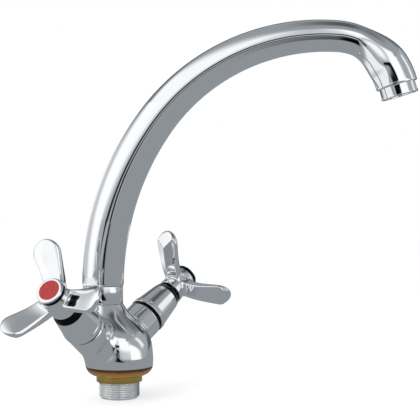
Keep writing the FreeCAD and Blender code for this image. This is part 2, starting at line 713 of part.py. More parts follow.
# Headwork: quarter-turn ceramic valve on one arm
def headwork(side, frame, phase):
    seat = size.arm_reach - size.socket_depth
    seal_top = seat + size.seat_seal_height
    fixed_top = seal_top + size.disc_thickness
    moving_foot = fixed_top + size.disc_gap
    moving_top = moving_foot + size.disc_thickness
    chamber = size.disc_radius + size.thread_gap
    chamber_top = moving_top + size.chamber_room
    wall = size.socket_radius - size.thread_gap
    seal = turned(side + "_seal_ring", [
        (size.disc_radius - size.seat_seal_width, seat),
        (size.disc_radius, seat),
        (size.disc_radius, seal_top),
        (size.disc_radius - size.seat_seal_width, seal_top),
    ])
    finished(seal, side + "_seat_seal", frame)
    finished(ceramic_disc(side + "_fixed_disc", seal_top, 0), side + "_fixed_disc", frame)

    bore = size.spindle_radius + size.running_gap
    shell = turned(side + "_shell", [
        (chamber, seat),
        (wall, seat),
        (wall, size.arm_reach),
        (size.headwork_neck_radius, size.arm_reach),
        (size.headwork_neck_radius, size.headwork_neck_top),
        (bore, size.headwork_neck_top),
        (bore, chamber_top),
        (chamber, chamber_top),
    ])
    hexagon = bound("Part::Prism", side + "_hexagon", lifted(Placement(), size.arm_reach),
                    Polygon=6, Circumradius=size.headwork_hex, Height=size.headwork_hex_height)
    tools = [bound("Part::Cylinder", side + "_hexagon_bore", lifted(Placement(), size.arm_reach - PAST),
                   Radius=bore, Height=size.headwork_hex_height + PAST * 2)]
    for index, turn in enumerate((0, 180)):
        port = Placement(Vector(0, 0, float(seat + size.port_height)),
                         Rotation(Vector(0, 0, 1), turn).multiply(Rotation(Vector(0, 1, 0), 90)))
        tools.append(bound("Part::Cylinder", "%s_port_%d" % (side, index), port,
                           Radius=size.port_radius, Height=size.socket_radius + PAST))
    stops = []
    for index in range(2):
        start = float(size.stop_ear_angle + size.stop_play) + QUARTER_TURN + 180 * index
        lug = bound("Part::Cylinder", "%s_stop_lug_%d" % (side, index),
                    turned_up(moving_top + size.running_gap, start), Radius=chamber + size.stop_root,
                    Height=size.chamber_room - size.running_gap + size.stop_root, Angle=size.stop_angle)
        core = bound("Part::Cylinder", "%s_stop_core_%d" % (side, index), lifted(Placement(), moving_top),
                     Radius=size.stop_radius, Height=size.chamber_room + PAST)
        stops.append(cut("%s_stop_%d" % (side, index), lug, [core]))
    outer = fuse(side + "_headwork_solid", [shell, hexagon] + stops)
    finished(cut(side + "_headwork_body", outer, tools), side + "_headwork_body", frame)

    slot = drive_key(side + "_drive_slot", moving_top - size.drive_slot_depth, size.drive_slot_length,
                     size.drive_slot_width, size.drive_slot_depth + PAST)
    plain_disc = ceramic_disc(side + "_moving_disc", moving_foot, QUARTER_TURN)
    moving = cut(side + "_moving_disc_slotted", plain_disc, [slot])
    finished(moving, side + "_moving_disc", frame)
    drive_foot = moving_top + size.thread_gap
    drive_top = drive_foot + size.spindle_foot_height
    seal_height = size.headwork_neck_top - size.spindle_seal_depth
    half_cord = size.spindle_cord * 0.5
    groove = size.spindle_radius - size.spindle_cord
    clip_foot = size.headwork_neck_top + size.running_gap
    clip_top = clip_foot + size.clip_thickness
    clip_groove = size.spindle_radius - size.clip_depth
    collar_top = clip_top + size.spline_collar
    tap_hole = size.screw_radius + size.thread_gap
    spindle = turned(side + "_spindle_bar", [
        (0, drive_foot),
        (size.spindle_foot_radius, drive_foot),
        (size.spindle_foot_radius, drive_top),
        (size.spindle_radius, drive_top),
        (size.spindle_radius, seal_height - half_cord),
        (groove, seal_height - half_cord),
        (groove, seal_height + half_cord),
        (size.spindle_radius, seal_height + half_cord),
        (size.spindle_radius, clip_foot),
        (clip_groove, clip_foot),
        (clip_groove, clip_top),
        (size.spindle_radius, clip_top),
        (size.spindle_radius, collar_top),
        (size.spline_radius, collar_top + size.spline_taper),
        (size.spline_radius, size.spindle_top),
        (tap_hole, size.spindle_top),
        (tap_hole, size.spindle_top - size.screw_length),
        (0, size.spindle_top - size.screw_length),
    ])
    ears = [bound("Part::Cylinder", "%s_ear_%d" % (side, index), turned_up(drive_foot, 180 * index),
                  Radius=size.stop_ear_radius, Height=size.spindle_foot_height, Angle=size.stop_ear_angle)
            for index in range(2)]
    tang_foot = moving_top - size.drive_slot_depth + size.thread_gap
    tang = drive_key(side + "_tang", tang_foot, size.drive_slot_length - size.thread_gap * 2,
                     size.drive_slot_width - size.thread_gap * 2,
                     size.drive_slot_depth + size.spindle_foot_height)
    spline_foot = collar_top + size.spline_taper
    spline = bound("Part::Prism", side + "_spline", turned_up(spline_foot - PAST, phase),
                   Polygon=SPLINE_SIDES, Circumradius=size.spline_radius,
                   Height=size.spindle_top - spline_foot + PAST * 3)
    round_end = bound("Part::Cylinder", side + "_spline_blank", lifted(Placement(), spline_foot),
                      Radius=size.spindle_radius, Height=size.spindle_top - spline_foot + PAST)
    solid = fuse(side + "_spindle_solid", [spindle, tang] + ears)
    trimming = cut(side + "_spline_trimming", round_end, [spline])
    finished(cut(side + "_spindle_cut", solid, [trimming]), side + "_spindle", frame)
    oring = bound("Part::Torus", side + "_spindle_oring", Radius1=size.spindle_radius - half_cord,
                  Radius2=half_cord)
    finished(oring, side + "_spindle_seal", lifted(frame, seal_height))
    clip = turned(side + "_clip_ring", [
        (clip_groove, clip_foot),
        (size.clip_radius, clip_foot),
        (size.clip_radius, clip_top),
        (clip_groove, clip_top),
    ])
    corner = Vector(0, -float(size.clip_mouth) / 2, float(clip_foot) - PAST)
    gap = bound("Part::Box", side + "_clip_gap", Placement(corner, Rotation()),
                Length=size.headwork_neck_radius, Width=size.clip_mouth,
                Height=size.clip_thickness + PAST * 2)
    finished(cut(side + "_spindle_clip", clip, [gap]), side + "_spindle_clip", frame)


def drive_key(name, foot, length, width, height):
    """Flat key across the axis: the spindle's tang, and the slot in the disc that it turns."""
    corner = Vector(-float(length) / 2, -float(width) / 2, float(foot))
    return bound("Part::Box", name, Placement(corner, Rotation()), Length=length, Width=width, Height=height)


def ceramic_disc(name, foot, turn):
    """Ceramic disc with two opposite windows about a central web."""
    plate = bound("Part::Cylinder", name + "_plate", lifted(Placement(), foot), Radius=size.disc_radius,
                  Height=size.disc_thickness)
    windows = []
    half_window = float(size.disc_window_angle) / 2
    for index, start in enumerate((turn - half_window, turn - half_window + 180)):
        windows.append(bound("Part::Cylinder", "%s_window_%d" % (name, index), turned_up(foot - PAST, start),
                             Radius=size.disc_window_radius, Height=size.disc_thickness + PAST * 2,
                             Angle=size.disc_window_angle))
    web = bound("Part::Cylinder", name + "_web", lifted(Placement(), foot - PAST * 2), Radius=size.disc_web,
                Height=size.disc_thickness + PAST * 4)
    return cut(name + "_cut", plate, [cut(name + "_opening", fuse(name + "_pair", windows), [web])])


# Sleeve: tapered cover over the headwork, screwed on its neck
def sleeve(side, frame):
    foot = size.arm_reach + size.sleeve_gap
    band = foot + size.sleeve_foot_height
    band_top = band + size.sleeve_band_height
    inner = size.sleeve_foot_radius - size.sleeve_wall
    neck = size.headwork_neck_radius + size.thread_gap
    thread_foot = size.sleeve_shoulder_top - size.sleeve_thread_length
    item = turned(side + "_sleeve_shell", [
        (inner, foot),
        (size.sleeve_foot_radius, foot),
        (size.sleeve_foot_radius, band),
        (size.sleeve_band_radius, band + size.sleeve_band_start),
        (size.sleeve_band_radius, band_top - size.sleeve_band_edge),
        (size.sleeve_band_radius - size.sleeve_band_edge, band_top),
        (size.sleeve_top_radius, size.sleeve_top),
        (size.sleeve_shoulder_radius, size.sleeve_shoulder_top, size.sleeve_top_radius),
        (neck, size.sleeve_shoulder_top),
        (neck, thread_foot),
        (size.sleeve_top_radius - size.sleeve_wall, thread_foot - size.sleeve_wall),
        (inner, band_top),
    ])
    finished(item, side + "_sleeve", frame)


# Handle: turned hub with a round head, and three spoon-shaped lobes
def lobe_section(reach, height, width, thickness):
    """Cross-section of a lobe: a bowed outer face and two flat inner faces that meet in a ridge."""
    half = width * 0.5
    crown = height + thickness * 0.42
    edge = height + thickness * 0.12
    ridge = height - thickness * 0.58
    left, right = Vector(reach, -half, edge), Vector(reach, half, edge)
    face = Part.Arc(left, Vector(reach, 0, crown), right).toShape()
    keel = Vector(reach, 0, ridge)
    return Part.Wire([face, Part.makeLine(right, keel), Part.makeLine(keel, left)])


def lobe():
    root, tip = float(size.hub_waist_radius) * 0.35, float(size.lobe_reach)
    stations = [
        (0.00, 0.00, 0.00, 1.00), (0.30, 0.18, 0.12, 1.00), (0.55, 0.47, 0.45, 1.00),
        (0.78, 0.80, 0.90, 1.00), (0.89, 0.93, 1.00, 0.90), (0.96, 0.99, 1.00, 0.68),
        (1.00, 1.00, 1.00, 0.30),
    ]
    wires = []
    for along, climb, widen, round_off in stations:
        reach = root + (tip - root) * along
        height = float(size.lobe_root_height + (size.lobe_tip_height - size.lobe_root_height) * climb)
        width = float(size.lobe_root_width + (size.lobe_tip_width - size.lobe_root_width) * widen) * round_off
        thick = float(size.lobe_root_thickness
                      + (size.lobe_tip_thickness - size.lobe_root_thickness) * along) * round_off
        wires.append(lobe_section(reach, height, width, thick))
    return Part.makeLoft(wires, True, False)


def handle(side, frame, phase):
    cap_floor = size.head_top - size.cap_recess
    hub = turned(side + "_hub", [
        (0, size.skirt_start),
        (size.skirt_radius - size.skirt_edge, size.skirt_start),
        (size.skirt_radius, size.skirt_start + size.skirt_edge),
        (size.skirt_radius, size.skirt_start + size.skirt_height),
        (size.hub_waist_radius, size.hub_waist, size.hub_curve),
        (size.head_radius, size.head_start, size.hub_curve),
        (size.head_radius, size.head_top - size.bezel_drop),
        (size.head_radius - size.bezel_inset, size.head_top, size.bezel_curve),
        (0, size.head_top),
    ])
    lobes = []
    for index in range(3):
        wing = doc.addObject("Part::Feature", "%s_lobe_%d" % (side, index))
        wing.Shape = lobe()
        wing.Placement = Placement(Vector(), Rotation(Vector(0, 0, 1), 120 * index))
        lobes.append(wing)
    outside = fuse(side + "_handle_outside", [hub] + lobes)
    spline_top = size.spindle_top + size.spline_end_gap
    screw_floor = spline_top + size.screw_seat
    tools = [
        bound("Part::Cylinder", side + "_skirt_hollow", lifted(Placement(), size.skirt_start - PAST),
              Radius=size.skirt_radius - size.skirt_wall, Height=size.skirt_depth + PAST),
        bound("Part::Prism", side + "_spline_bore", lifted(Placement(), size.skirt_start),
              Polygon=SPLINE_SIDES, Circumradius=size.spline_radius + size.thread_gap,
              Height=spline_top - size.skirt_start),
        bound("Part::Cylinder", side + "_screw_bore", lifted(Placement(), size.skirt_start),
              Radius=size.screw_radius + size.screw_hole_gap, Height=size.head_top - size.skirt_start),
        bound("Part::Cylinder", side + "_screw_recess", lifted(Placement(), screw_floor),
              Radius=size.cap_stem_radius + size.thread_gap, Height=size.head_top - spline_top),
        bound("Part::Cylinder", side + "_cap_recess", lifted(Placement(), cap_floor),
              Radius=size.cap_radius + size.thread_gap, Height=size.cap_recess + PAST),
    ]
    turned_frame = frame.multiply(Placement(Vector(), Rotation(Vector(0, 0, 1), float(phase))))
    finished(cut(side + "_handle", outside, tools), side + "_handle", turned_frame)

    screw = turned(side + "_screw", [
        (0, screw_floor - size.screw_length),
        (size.screw_radius, screw_floor - size.screw_length),
        (size.screw_radius, screw_floor),
        (size.screw_head_radius, screw_floor),
        (size.screw_head_radius, screw_floor + size.screw_head_height),
        (0, screw_floor + size.screw_head_height),
    ])
    finished(screw, side + "_handle_screw", turned_frame)
    stem_foot = cap_floor - size.cap_stem_length
    cap_top = size.head_top + size.cap_crown
    stem_inner = size.cap_stem_radius - size.cap_stem_wall
    cap = turned(side + "_cap_disc", [
        (stem_inner, stem_foot),
        (size.cap_stem_radius, stem_foot),
        (size.cap_stem_radius, cap_floor),
        (size.cap_radius, cap_floor),
        (size.cap_radius, cap_top - size.cap_edge),
        (size.cap_radius - size.cap_edge, cap_top),
        (0, cap_top),
        (0, cap_top - size.cap_skin),
        (stem_inner, cap_top - size.cap_skin),
    ])
    finished(cap, side + "_index_cap", turned_frame)


threaded_shank()
base_flange()
body_casting()
collar_nut_top = swivel_joint()
aerator(spout(collar_nut_top))
phases = {"hot": size.hot_handle_phase, "cold": size.cold_handle_phase}
for side, frame in arm_frames.items():
    headwork(side, frame, phases[side])
    sleeve(side, frame)
for side, frame in arm_frames.items():
    handle(side, frame, phases[side])
doc.recompute()

for item in doc.Objects:
    if "Invalid" in item.State or "Error" in item.State:
        raise SystemExit("%s did not compute: %s" % (item.Label, item.State))
os.makedirs("parts", exist_ok=True)
for item in parts:
    shape = item.Shape
    if shape.isNull() or not shape.isValid() or not shape.Solids:
        raise SystemExit("%s is not a valid solid" % item.Label)
for item in parts:
    item.Shape.exportStep("parts/%s.step" % item.Label)
    print("%-22s %9.1f mm3, %d faces" % (item.Label, item.Shape.Volume, len(item.Shape.Faces)))
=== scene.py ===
# %% [markdown]
# # Looks of a two-handle kitchen mixer tap
# The real tap is cast and turned brass under polished chrome, so nearly everything that the eye sees on it is a
# reflection. Two things make such a picture: surfaces that are smooth to the last fraction of a millimetre, and a
# studio worth reflecting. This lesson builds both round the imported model, which stays where it is.

import math

import bmesh
import bpy
import numpy as np
from mathutils import Matrix, Vector


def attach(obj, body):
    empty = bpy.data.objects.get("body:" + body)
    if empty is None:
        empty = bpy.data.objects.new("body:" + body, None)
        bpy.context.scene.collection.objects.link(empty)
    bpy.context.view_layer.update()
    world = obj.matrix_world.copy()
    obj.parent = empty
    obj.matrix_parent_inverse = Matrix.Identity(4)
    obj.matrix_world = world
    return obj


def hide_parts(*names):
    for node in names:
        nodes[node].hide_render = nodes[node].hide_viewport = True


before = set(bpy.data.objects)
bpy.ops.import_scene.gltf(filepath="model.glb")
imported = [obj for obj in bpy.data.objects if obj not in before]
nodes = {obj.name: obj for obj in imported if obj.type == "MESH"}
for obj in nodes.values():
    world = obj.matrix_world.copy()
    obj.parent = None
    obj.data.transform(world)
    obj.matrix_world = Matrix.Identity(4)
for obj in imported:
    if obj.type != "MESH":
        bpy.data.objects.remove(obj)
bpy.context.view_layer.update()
MM = 0.001

# %% [markdown]
# ## The camera
# A long lens from 76 cm away, level with the middle of the tap and turned 32 degrees from its side, gives the
# photo's view: both handles show, the left one from its outer face and the right one from behind.

# %% Place the camera
VIEW_AZIMUTH = math.radians(32.2)
VIEW_PITCH = -0.77
EYE = (-0.6053, -0.4548, 0.1275)
SENSOR_WIDTH, FOCAL_LENGTH = 36.0, 94.29


def linked(thing):
    bpy.context.scene.collection.objects.link(thing)
    return thing


camera_data = bpy.data.cameras.new("camera")
camera_data.sensor_width, camera_data.lens = SENSOR_WIDTH, FOCAL_LENGTH
camera_data.clip_start, camera_data.clip_end = 0.05, 20.0
camera = linked(bpy.data.objects.new("camera", camera_data))
camera.location = EYE
camera.rotation_euler = (math.radians(90 + VIEW_PITCH), 0, VIEW_AZIMUTH - math.pi / 2)
bpy.context.scene.camera = camera

# %% [markdown]
# ## Calculating with sockets
# A material is a graph of nodes, and built link by link it is hard to read. This small class wraps one output socket
# and lets Python's own operators add the Math nodes. Every other kind of node comes from its one method `node`.


# %% A socket that Python can calculate with
class Wire:
    def __init__(self, tree, socket=None):
        self.tree, self.socket = tree, socket

    def node(self, kind, settings=(), inputs=(), output=0):
        """Adds a node: its settings first, then the values or links of its input sockets."""
        made = self.tree.nodes.new(kind)
        for key, value in dict(settings).items():
            if key == "stops":
                stops = made.color_ramp.elements
                while len(stops) < len(value):
                    stops.new(1.0)
                for stop, (place, colour) in zip(stops, value):
                    stop.position, stop.color = place, (*colour, 1.0)
            else:
                setattr(made, key, value)
        for key, value in dict(inputs).items():
            if isinstance(value, Wire):
                self.tree.links.new(value.socket, made.inputs[key])
            else:
                made.inputs[key].default_value = value
        return Wire(self.tree, made.outputs[output] if len(made.outputs) else None)

    def math(self, operation, *values):
        return self.node("ShaderNodeMath", {"operation": operation}, enumerate(values))

    def __add__(self, other):
        return self.math("ADD", self, other)

    def __sub__(self, other):
        return self.math("SUBTRACT", self, other)

    def __rsub__(self, other):
        return self.math("SUBTRACT", other, self)

    def __mul__(self, other):
        return self.math("MULTIPLY", self, other)

    def __abs__(self):
        return self.math("ABSOLUTE", self)

    def between(self, low, high):
        """0 below low, 1 above high, with a soft step from one to the other."""
        return self.node("ShaderNodeMapRange", {"interpolation_type": "SMOOTHSTEP"},
                         {"Value": self, "From Min": low, "From Max": high})

    __radd__ = __add__
    __rmul__ = __mul__


# %% [markdown]
# ## Main axes
# The same few measures that the CAD starts from: the chrome rim, the neck behind it, and one axis for each arm.

# %% Measures and axes
RIM_HEIGHT = 10.5
NECK_HEIGHT = 52.6
NECK_BACK = 14.0
ARM_ELEVATION, ARM_SWEEP = math.radians(32.7), math.radians(9.2)
JUNCTION = Vector((0, 8.8, 17.5)) * MM


def direction(azimuth, elevation):
    return Vector((math.cos(azimuth) * math.cos(elevation), math.sin(azimuth) * math.cos(elevation),
                   math.sin(elevation)))


# %% [markdown]
# ## A finish
# All finishes here are Principled shaders. Numbers that are the same all over the surface are set straight on the
# shader, and only what varies is wired.


# %% Make a finish
def finish(name, **values):
    """A Principled material with its constant values set, and a Wire to build on."""
    material = bpy.data.materials.new(name)
    material.use_nodes = True
    tree = material.node_tree
    shader = tree.nodes["Principled BSDF"]
    for key, value in values.items():
        socket = shader.inputs[key.replace("_", " ").title()]
        socket.default_value = (*value, 1.0) if isinstance(value, tuple) else value
    return material, Wire(tree), shader


def drive(shader, socket, wire):
    wire.tree.links.new(wire.socket, shader.inputs[socket])


def place_in_object(wire):
    return wire.node("ShaderNodeTexCoord", output="Object")


def split(wire, vector):
    """The three parts of a vector, each as a Wire."""
    parts = wire.node("ShaderNodeSeparateXYZ", inputs={"Vector": vector})
    return [Wire(wire.tree, output) for output in parts.socket.node.outputs]


def blend(wire, share, first, second):
    """A colour that goes from first to second as share goes from 0 to 1."""
    return wire.node("ShaderNodeMix", {"data_type": "RGBA"},
                     {"Factor": share, 6: (*first, 1.0), 7: (*second, 1.0)}, 2)


def noise(wire, scale, detail, roughness=0.5):
    return wire.node("ShaderNodeTexNoise", inputs={
        "Vector": place_in_object(wire), "Scale": scale, "Detail": detail, "Roughness": roughness})


def relief(wire, height, strength, distance):
    return wire.node("ShaderNodeBump", inputs={"Height": height, "Strength": strength, "Distance": distance},
                     output="Normal")


# %% [markdown]
# ## Chrome
# Chrome plate is a mirror with a cool grey of its own. On a used tap it isn't a perfect one: a wiping cloth leaves
# faint clouds that spread the reflection a little, and on the castings the polisher's wheel leaves a shallow swell.
# The photo shows dark rings at each sleeve's foot, at its shoulder below the handle and under the handle's head. Here
# the shade in the foot's groove and under the head and the dark reflection on the shoulder are painted into the
# chrome's colour, placed by the arm's own measures, so they stay dark in any light.


# %% Chrome finishes
CHROME, SHADOW = (0.86, 0.87, 0.885), (0.012, 0.013, 0.016)
CLEAR_ROUGHNESS, CLOUD_ROUGHNESS = 0.035, 0.045
SWELL_SCALE, SWELL_HEIGHT = 55.0, 0.0004
HAND_SWELL = 0.12
SHADE_RING_EDGE, REACH_EDGE = 0.15, 0.2


def arm_measures(wire):
    """Distances in mm along the nearer arm's axis and away from it. The arms mirror each other."""
    x, y, z = split(wire, place_in_object(wire))
    offsets = [(side - start) * (1 / MM) for side, start in zip((abs(x), y, z), JUNCTION)]
    along = sum(offset * share for offset, share in zip(offsets, direction(-ARM_SWEEP, ARM_ELEVATION)))
    square = sum(offset * offset for offset in offsets) - along * along
    return along, square.math("SQRT", square.math("MAXIMUM", square, 0.0))


def chrome_finish(name, swell, painted_shade_rings=()):
    """Polished chrome, with rings of painted shade and painted dark reflection on an arm: (from, to, widest radius)
    along its axis, in mm.
    """
    material, wire, shader = finish(name, metallic=1.0, base_color=CHROME)
    clouds = noise(wire, 60.0, 4.0, 0.6)
    drive(shader, "Roughness", clouds.between(0.35, 0.75) * CLOUD_ROUGHNESS + CLEAR_ROUGHNESS)
    if swell:
        drive(shader, "Normal", relief(wire, noise(wire, SWELL_SCALE, 1.0), swell, SWELL_HEIGHT))
    # Painted shade and painted dark reflection: the colour turns to SHADOW in rings along the arm's axis.
    if painted_shade_rings:
        along, across = arm_measures(wire)
        dark = along * 0.0
        for start, end, reach in painted_shade_rings:
            begun, over = (along.between(edge - SHADE_RING_EDGE, edge + SHADE_RING_EDGE) for edge in (start, end))
            outside = across.between(reach - REACH_EDGE, reach + REACH_EDGE)
            dark = dark.math("MAXIMUM", dark, begun * (1 - over) * (1 - outside))
        drive(shader, "Base Color", blend(wire, dark, CHROME, SHADOW))
    return material


turned_chrome = chrome_finish("turned_chrome", 0.0)
cast_chrome = chrome_finish("cast_chrome", HAND_SWELL)
# The sleeve's painted shade in its foot's groove and painted dark reflection on its shoulder below the handle.
sleeve_chrome = chrome_finish("sleeve_chrome", 0.0, [(41.0, 43.75, 20.0), (65.75, 72.0, 20.0)])
# The handle's painted shade in the step under its head.
handle_chrome = chrome_finish("handle_chrome", HAND_SWELL, [(90.1, 92.9, 10.2)])

# %% [markdown]
# ## Brass, steel, plastic and rubber
# The base flange is bare brass: cast in the bowl, turned on the collar, and dark brown towards its top, where it meets
# the chrome.
# Height decides the tint, and fine rings round the axis are the lathe's. Inside the tap the same brass is cleaner.


# %% Brass finishes
STAIN_SHIFT = 0.0016
FLANGE_TOP, INNER_TOP = 0.0105, 0.1


def brass_finish(name, tint_stops, top, rings):
    """Brass whose tint follows the height, from 0 to top in metres, with turning marks."""
    material, wire, shader = finish(name, metallic=1.0)
    place = place_in_object(wire)
    height = split(wire, place)[2]
    stain = noise(wire, 180.0, 4.0, 0.6)
    share = wire.node("ShaderNodeMapRange", inputs={
        "Value": height + (stain - 0.5) * STAIN_SHIFT, "From Min": 0.0, "From Max": top})
    tint = wire.node("ShaderNodeValToRGB", {"stops": tint_stops}, {"Fac": share})
    drive(shader, "Base Color", tint)
    drive(shader, "Roughness", stain * 0.16 + 0.12)
    turning = wire.node("ShaderNodeTexWave", {"wave_type": "BANDS", "bands_direction": "Z"},
                        {"Vector": place, "Scale": rings, "Distortion": 0.4, "Detail": 1.0})
    drive(shader, "Normal", relief(wire, turning, 0.25, 0.00006))
    return material


FLANGE_TINTS = [
    (0.0, (0.52, 0.36, 0.10)), (0.32, (0.60, 0.42, 0.12)), (0.42, (0.72, 0.36, 0.09)),
    (0.72, (0.78, 0.40, 0.12)), (0.88, (0.30, 0.12, 0.05)), (1.0, (0.16, 0.06, 0.03)),
]
CLEAN_TINTS = [(0.0, (0.74, 0.56, 0.27)), (1.0, (0.80, 0.62, 0.33))]
flange_brass = brass_finish("flange_brass", FLANGE_TINTS, FLANGE_TOP, 900.0)
inner_brass = brass_finish("inner_brass", CLEAN_TINTS, INNER_TOP, 600.0)


# %% Steel, plastics, ceramic and rubber
def plain_finish(name, colour, mottle, grain, **values):
    """One colour with faint mottling and a fine grain."""
    material, wire, shader = finish(name, **values)
    spots = noise(wire, grain, 5.0, 0.6)
    darker = [part * (1 - mottle) for part in colour]
    drive(shader, "Base Color", blend(wire, spots.between(0.3, 0.7), darker, colour))
    drive(shader, "Normal", relief(wire, spots, 0.12, 0.00003))
    return material


shank_steel = plain_finish("shank_steel", (0.93, 0.935, 0.94), 0.08, 700.0, metallic=1.0, roughness=0.24)
screen_steel = plain_finish("screen_steel", (0.62, 0.63, 0.64), 0.1, 900.0, metallic=1.0, roughness=0.3)
slip_plastic = plain_finish("slip_plastic", (0.86, 0.86, 0.84), 0.05, 500.0, roughness=0.45)
former_plastic = plain_finish("former_plastic", (0.72, 0.72, 0.70), 0.06, 500.0, roughness=0.5)
seal_rubber = plain_finish("seal_rubber", (0.03, 0.03, 0.03), 0.3, 900.0, roughness=0.65)
ceramic = plain_finish("ceramic", (0.90, 0.89, 0.85), 0.04, 300.0, roughness=0.15, coat_weight=0.4)
index_red = plain_finish("index_red", (0.46, 0.012, 0.009), 0.25, 400.0, roughness=0.4, coat_weight=0.12,
                         coat_roughness=0.06)
index_blue = plain_finish("index_blue", (0.02, 0.07, 0.42), 0.25, 400.0, roughness=0.3, coat_weight=1.0,
                          coat_roughness=0.06)

# %% [markdown]
# ## Meshes from numbers
# Lathe-turned pieces are an outline swept round an axis. Every outer corner of a plated piece is slightly rounded,
# because a sharp edge can't be polished, and that thin bright line is what makes it read as metal.


# %% Outlines and turned pieces
def axis_frame(origin, axis):
    """Matrix whose Z runs along axis and whose X points as far up as it can, as in the CAD."""
    z = Vector(axis).normalized()
    x = Vector((0, 0, 1)) - z * z.z
    x = x.normalized() if x.length > 1e-6 else Vector((1, 0, 0))
    y = z.cross(x)
    place = Matrix((x, y, z)).transposed().to_4x4()
    place.translation = Vector(origin)
    return place


def arc_between(start, end, radius, steps):
    """Points on the arc from start, left out, to end. Its centre lies to the left of the way there."""
    start, end = Vector(start), Vector(end)
    half = (end - start) * 0.5
    aside = Vector((-half.y, half.x)).normalized()
    centre = start + half + aside * math.sqrt(radius ** 2 - half.length_squared)
    first, last = [math.atan2(p.y - centre.y, p.x - centre.x) for p in (start, end)]
    angles = [first + (last - first) * step / steps for step in range(1, steps + 1)]
    return [(centre.x + radius * math.cos(a), centre.y + radius * math.sin(a)) for a in angles]


def rounded(outline, steps=5):
    """Outline of (radius, height[, rounding]) in mm, with its rounded corners filled in."""
    points = []
    for index, corner in enumerate(outline):
        here = Vector(corner[:2])
        if len(corner) == 2 or index in (0, len(outline) - 1):
            points.append(here)
            continue
        before, after = Vector(outline[index - 1][:2]), Vector(outline[index + 1][:2])
        u, v = (before - here).normalized(), (after - here).normalized()
        half = 0.5 * math.acos(max(-1.0, min(1.0, u.dot(v))))
        back = min(corner[2] / math.tan(half), 0.49 * (before - here).length, 0.49 * (after - here).length)
        radius = back * math.tan(half)
        centre = here + (u + v).normalized() * (radius / math.sin(half))
        start, end = here + u * back - centre, here + v * back - centre
        turn = math.atan2(start.x * end.y - start.y * end.x, start.dot(end))
        for step in range(steps + 1):
            a = turn * step / steps
            points.append(centre + Vector((start.x * math.cos(a) - start.y * math.sin(a),
                                           start.x * math.sin(a) + start.y * math.cos(a))))
    return points


def report(made):
    spots = [v.co / MM for v in made.data.vertices]
    low, high = [[round(choose(s[i] for s in spots), 1) for i in range(3)] for choose in (min, max)]
    print(f"{made.name}: {len(spots)} vertices, {low} to {high} mm")


def put(mesh, body, material, node):
    """Makes the mesh an object that rides on a CAD body and stands in for a CAD node."""
    mesh.materials.append(material)
    made = linked(bpy.data.objects.new(mesh.name, mesh))
    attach(made, body)
    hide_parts(node)
    report(made)


def piece(name, vertices, faces, body, material, node, crease=30.0):
    """A smooth piece from vertices in metres and faces."""
    mesh = bpy.data.meshes.new(name)
    mesh.from_pydata([tuple(v) for v in vertices], [], faces)
    mesh.validate()
    mesh.shade_smooth()
    mesh.set_sharp_from_angle(angle=math.radians(crease))
    put(mesh, body, material, node)


def woven(rows, columns, closed=True):
    """Quads between rows of points. Each row is a ring, and closed joins the last row to the first."""
    faces = []
    for row in range(rows if closed else rows - 1):
        here, there = row * columns, (row + 1) % rows * columns
        for column in range(columns):
            after = (column + 1) % columns
            faces.append((here + column, there + column, there + after, here + after))
    return faces


def turned_mesh(outline, place, steps):
    """Vertices in metres and faces of a closed outline, in mm, swept round the local Z axis."""
    vertices = []
    for step in range(steps):
        a = 2 * math.pi * step / steps
        for point in outline:
            vertices.append(place @ (Vector((point.x * math.cos(a), point.x * math.sin(a), point.y)) * MM))
    return vertices, woven(steps, len(outline))


def turned(name, outline, place, body, material, node, steps=144):
    """A piece of revolution round the local Z axis of place."""
    vertices, faces = turned_mesh(rounded(outline), place, steps)
    piece(name, vertices, faces, body, material, node)


# %% Frames of the axes
upright = Matrix.Identity(4)
neck_axis = Matrix.Translation(Vector((0, NECK_BACK, 0)) * MM)
arms = {
    "hot": axis_frame(JUNCTION, direction(math.pi + ARM_SWEEP, ARM_ELEVATION)),
    "cold": axis_frame(JUNCTION, direction(-ARM_SWEEP, ARM_ELEVATION)),
}

# %% [markdown]
# ## Base flange
# A dished brass ring under the chrome rim, with a turned collar that stands on the worktop.

# %% Base flange
FLANGE_BORE, COLLAR_RADIUS, COLLAR_TOP = 13.3, 15.7, 4.2
RIM_RADIUS, BOWL_RADIUS = 23.1, 7.6
flange_outline = [
    (FLANGE_BORE, 0.9), (14.2, 0.05), (COLLAR_RADIUS, 0.0, 0.3), (COLLAR_RADIUS, COLLAR_TOP, 0.3),
    *arc_between((COLLAR_RADIUS, COLLAR_TOP), (RIM_RADIUS, RIM_HEIGHT), BOWL_RADIUS, 13), (FLANGE_BORE, RIM_HEIGHT),
]
turned("base_flange_turned", flange_outline, upright, "tap_body", flange_brass, "base_flange")

# %% [markdown]
# ## Threaded shank
# The photo shows fine thread lines on a bright shank. A thread is one groove that climbs one pitch a turn, so the
# radius depends on height and angle together; modelled for real, it also gives the shank its toothed outline.

# %% Threaded shank
THREAD_PITCH, THREAD_DEPTH = 1.5, 0.8
SHANK_RADIUS, SHANK_BORE, SHANK_LENGTH, SHANK_CHAMFER = 14.0, 11.7, 11.4, 1.8
SHANK_UPPER_RADIUS, SHANK_TOP, BORE_CHAMFER = 13.2, 20.5, 0.6
SHANK_STEPS = 144
FLANK_RISE, ROOT_WIDTH = 2.6, 0.15


def thread_radius(height, turn):
    """Radius of the thread at a height in mm, after this share of a turn."""
    phase = (height / THREAD_PITCH + turn) % 1.0
    tooth = min(1.0, max(0.0, (0.5 - abs(phase - 0.5)) * FLANK_RISE - ROOT_WIDTH))
    chamfer = SHANK_RADIUS - max(0.0, SHANK_CHAMFER - (height + SHANK_LENGTH))
    return min(SHANK_RADIUS - THREAD_DEPTH * (1 - tooth), chamfer)


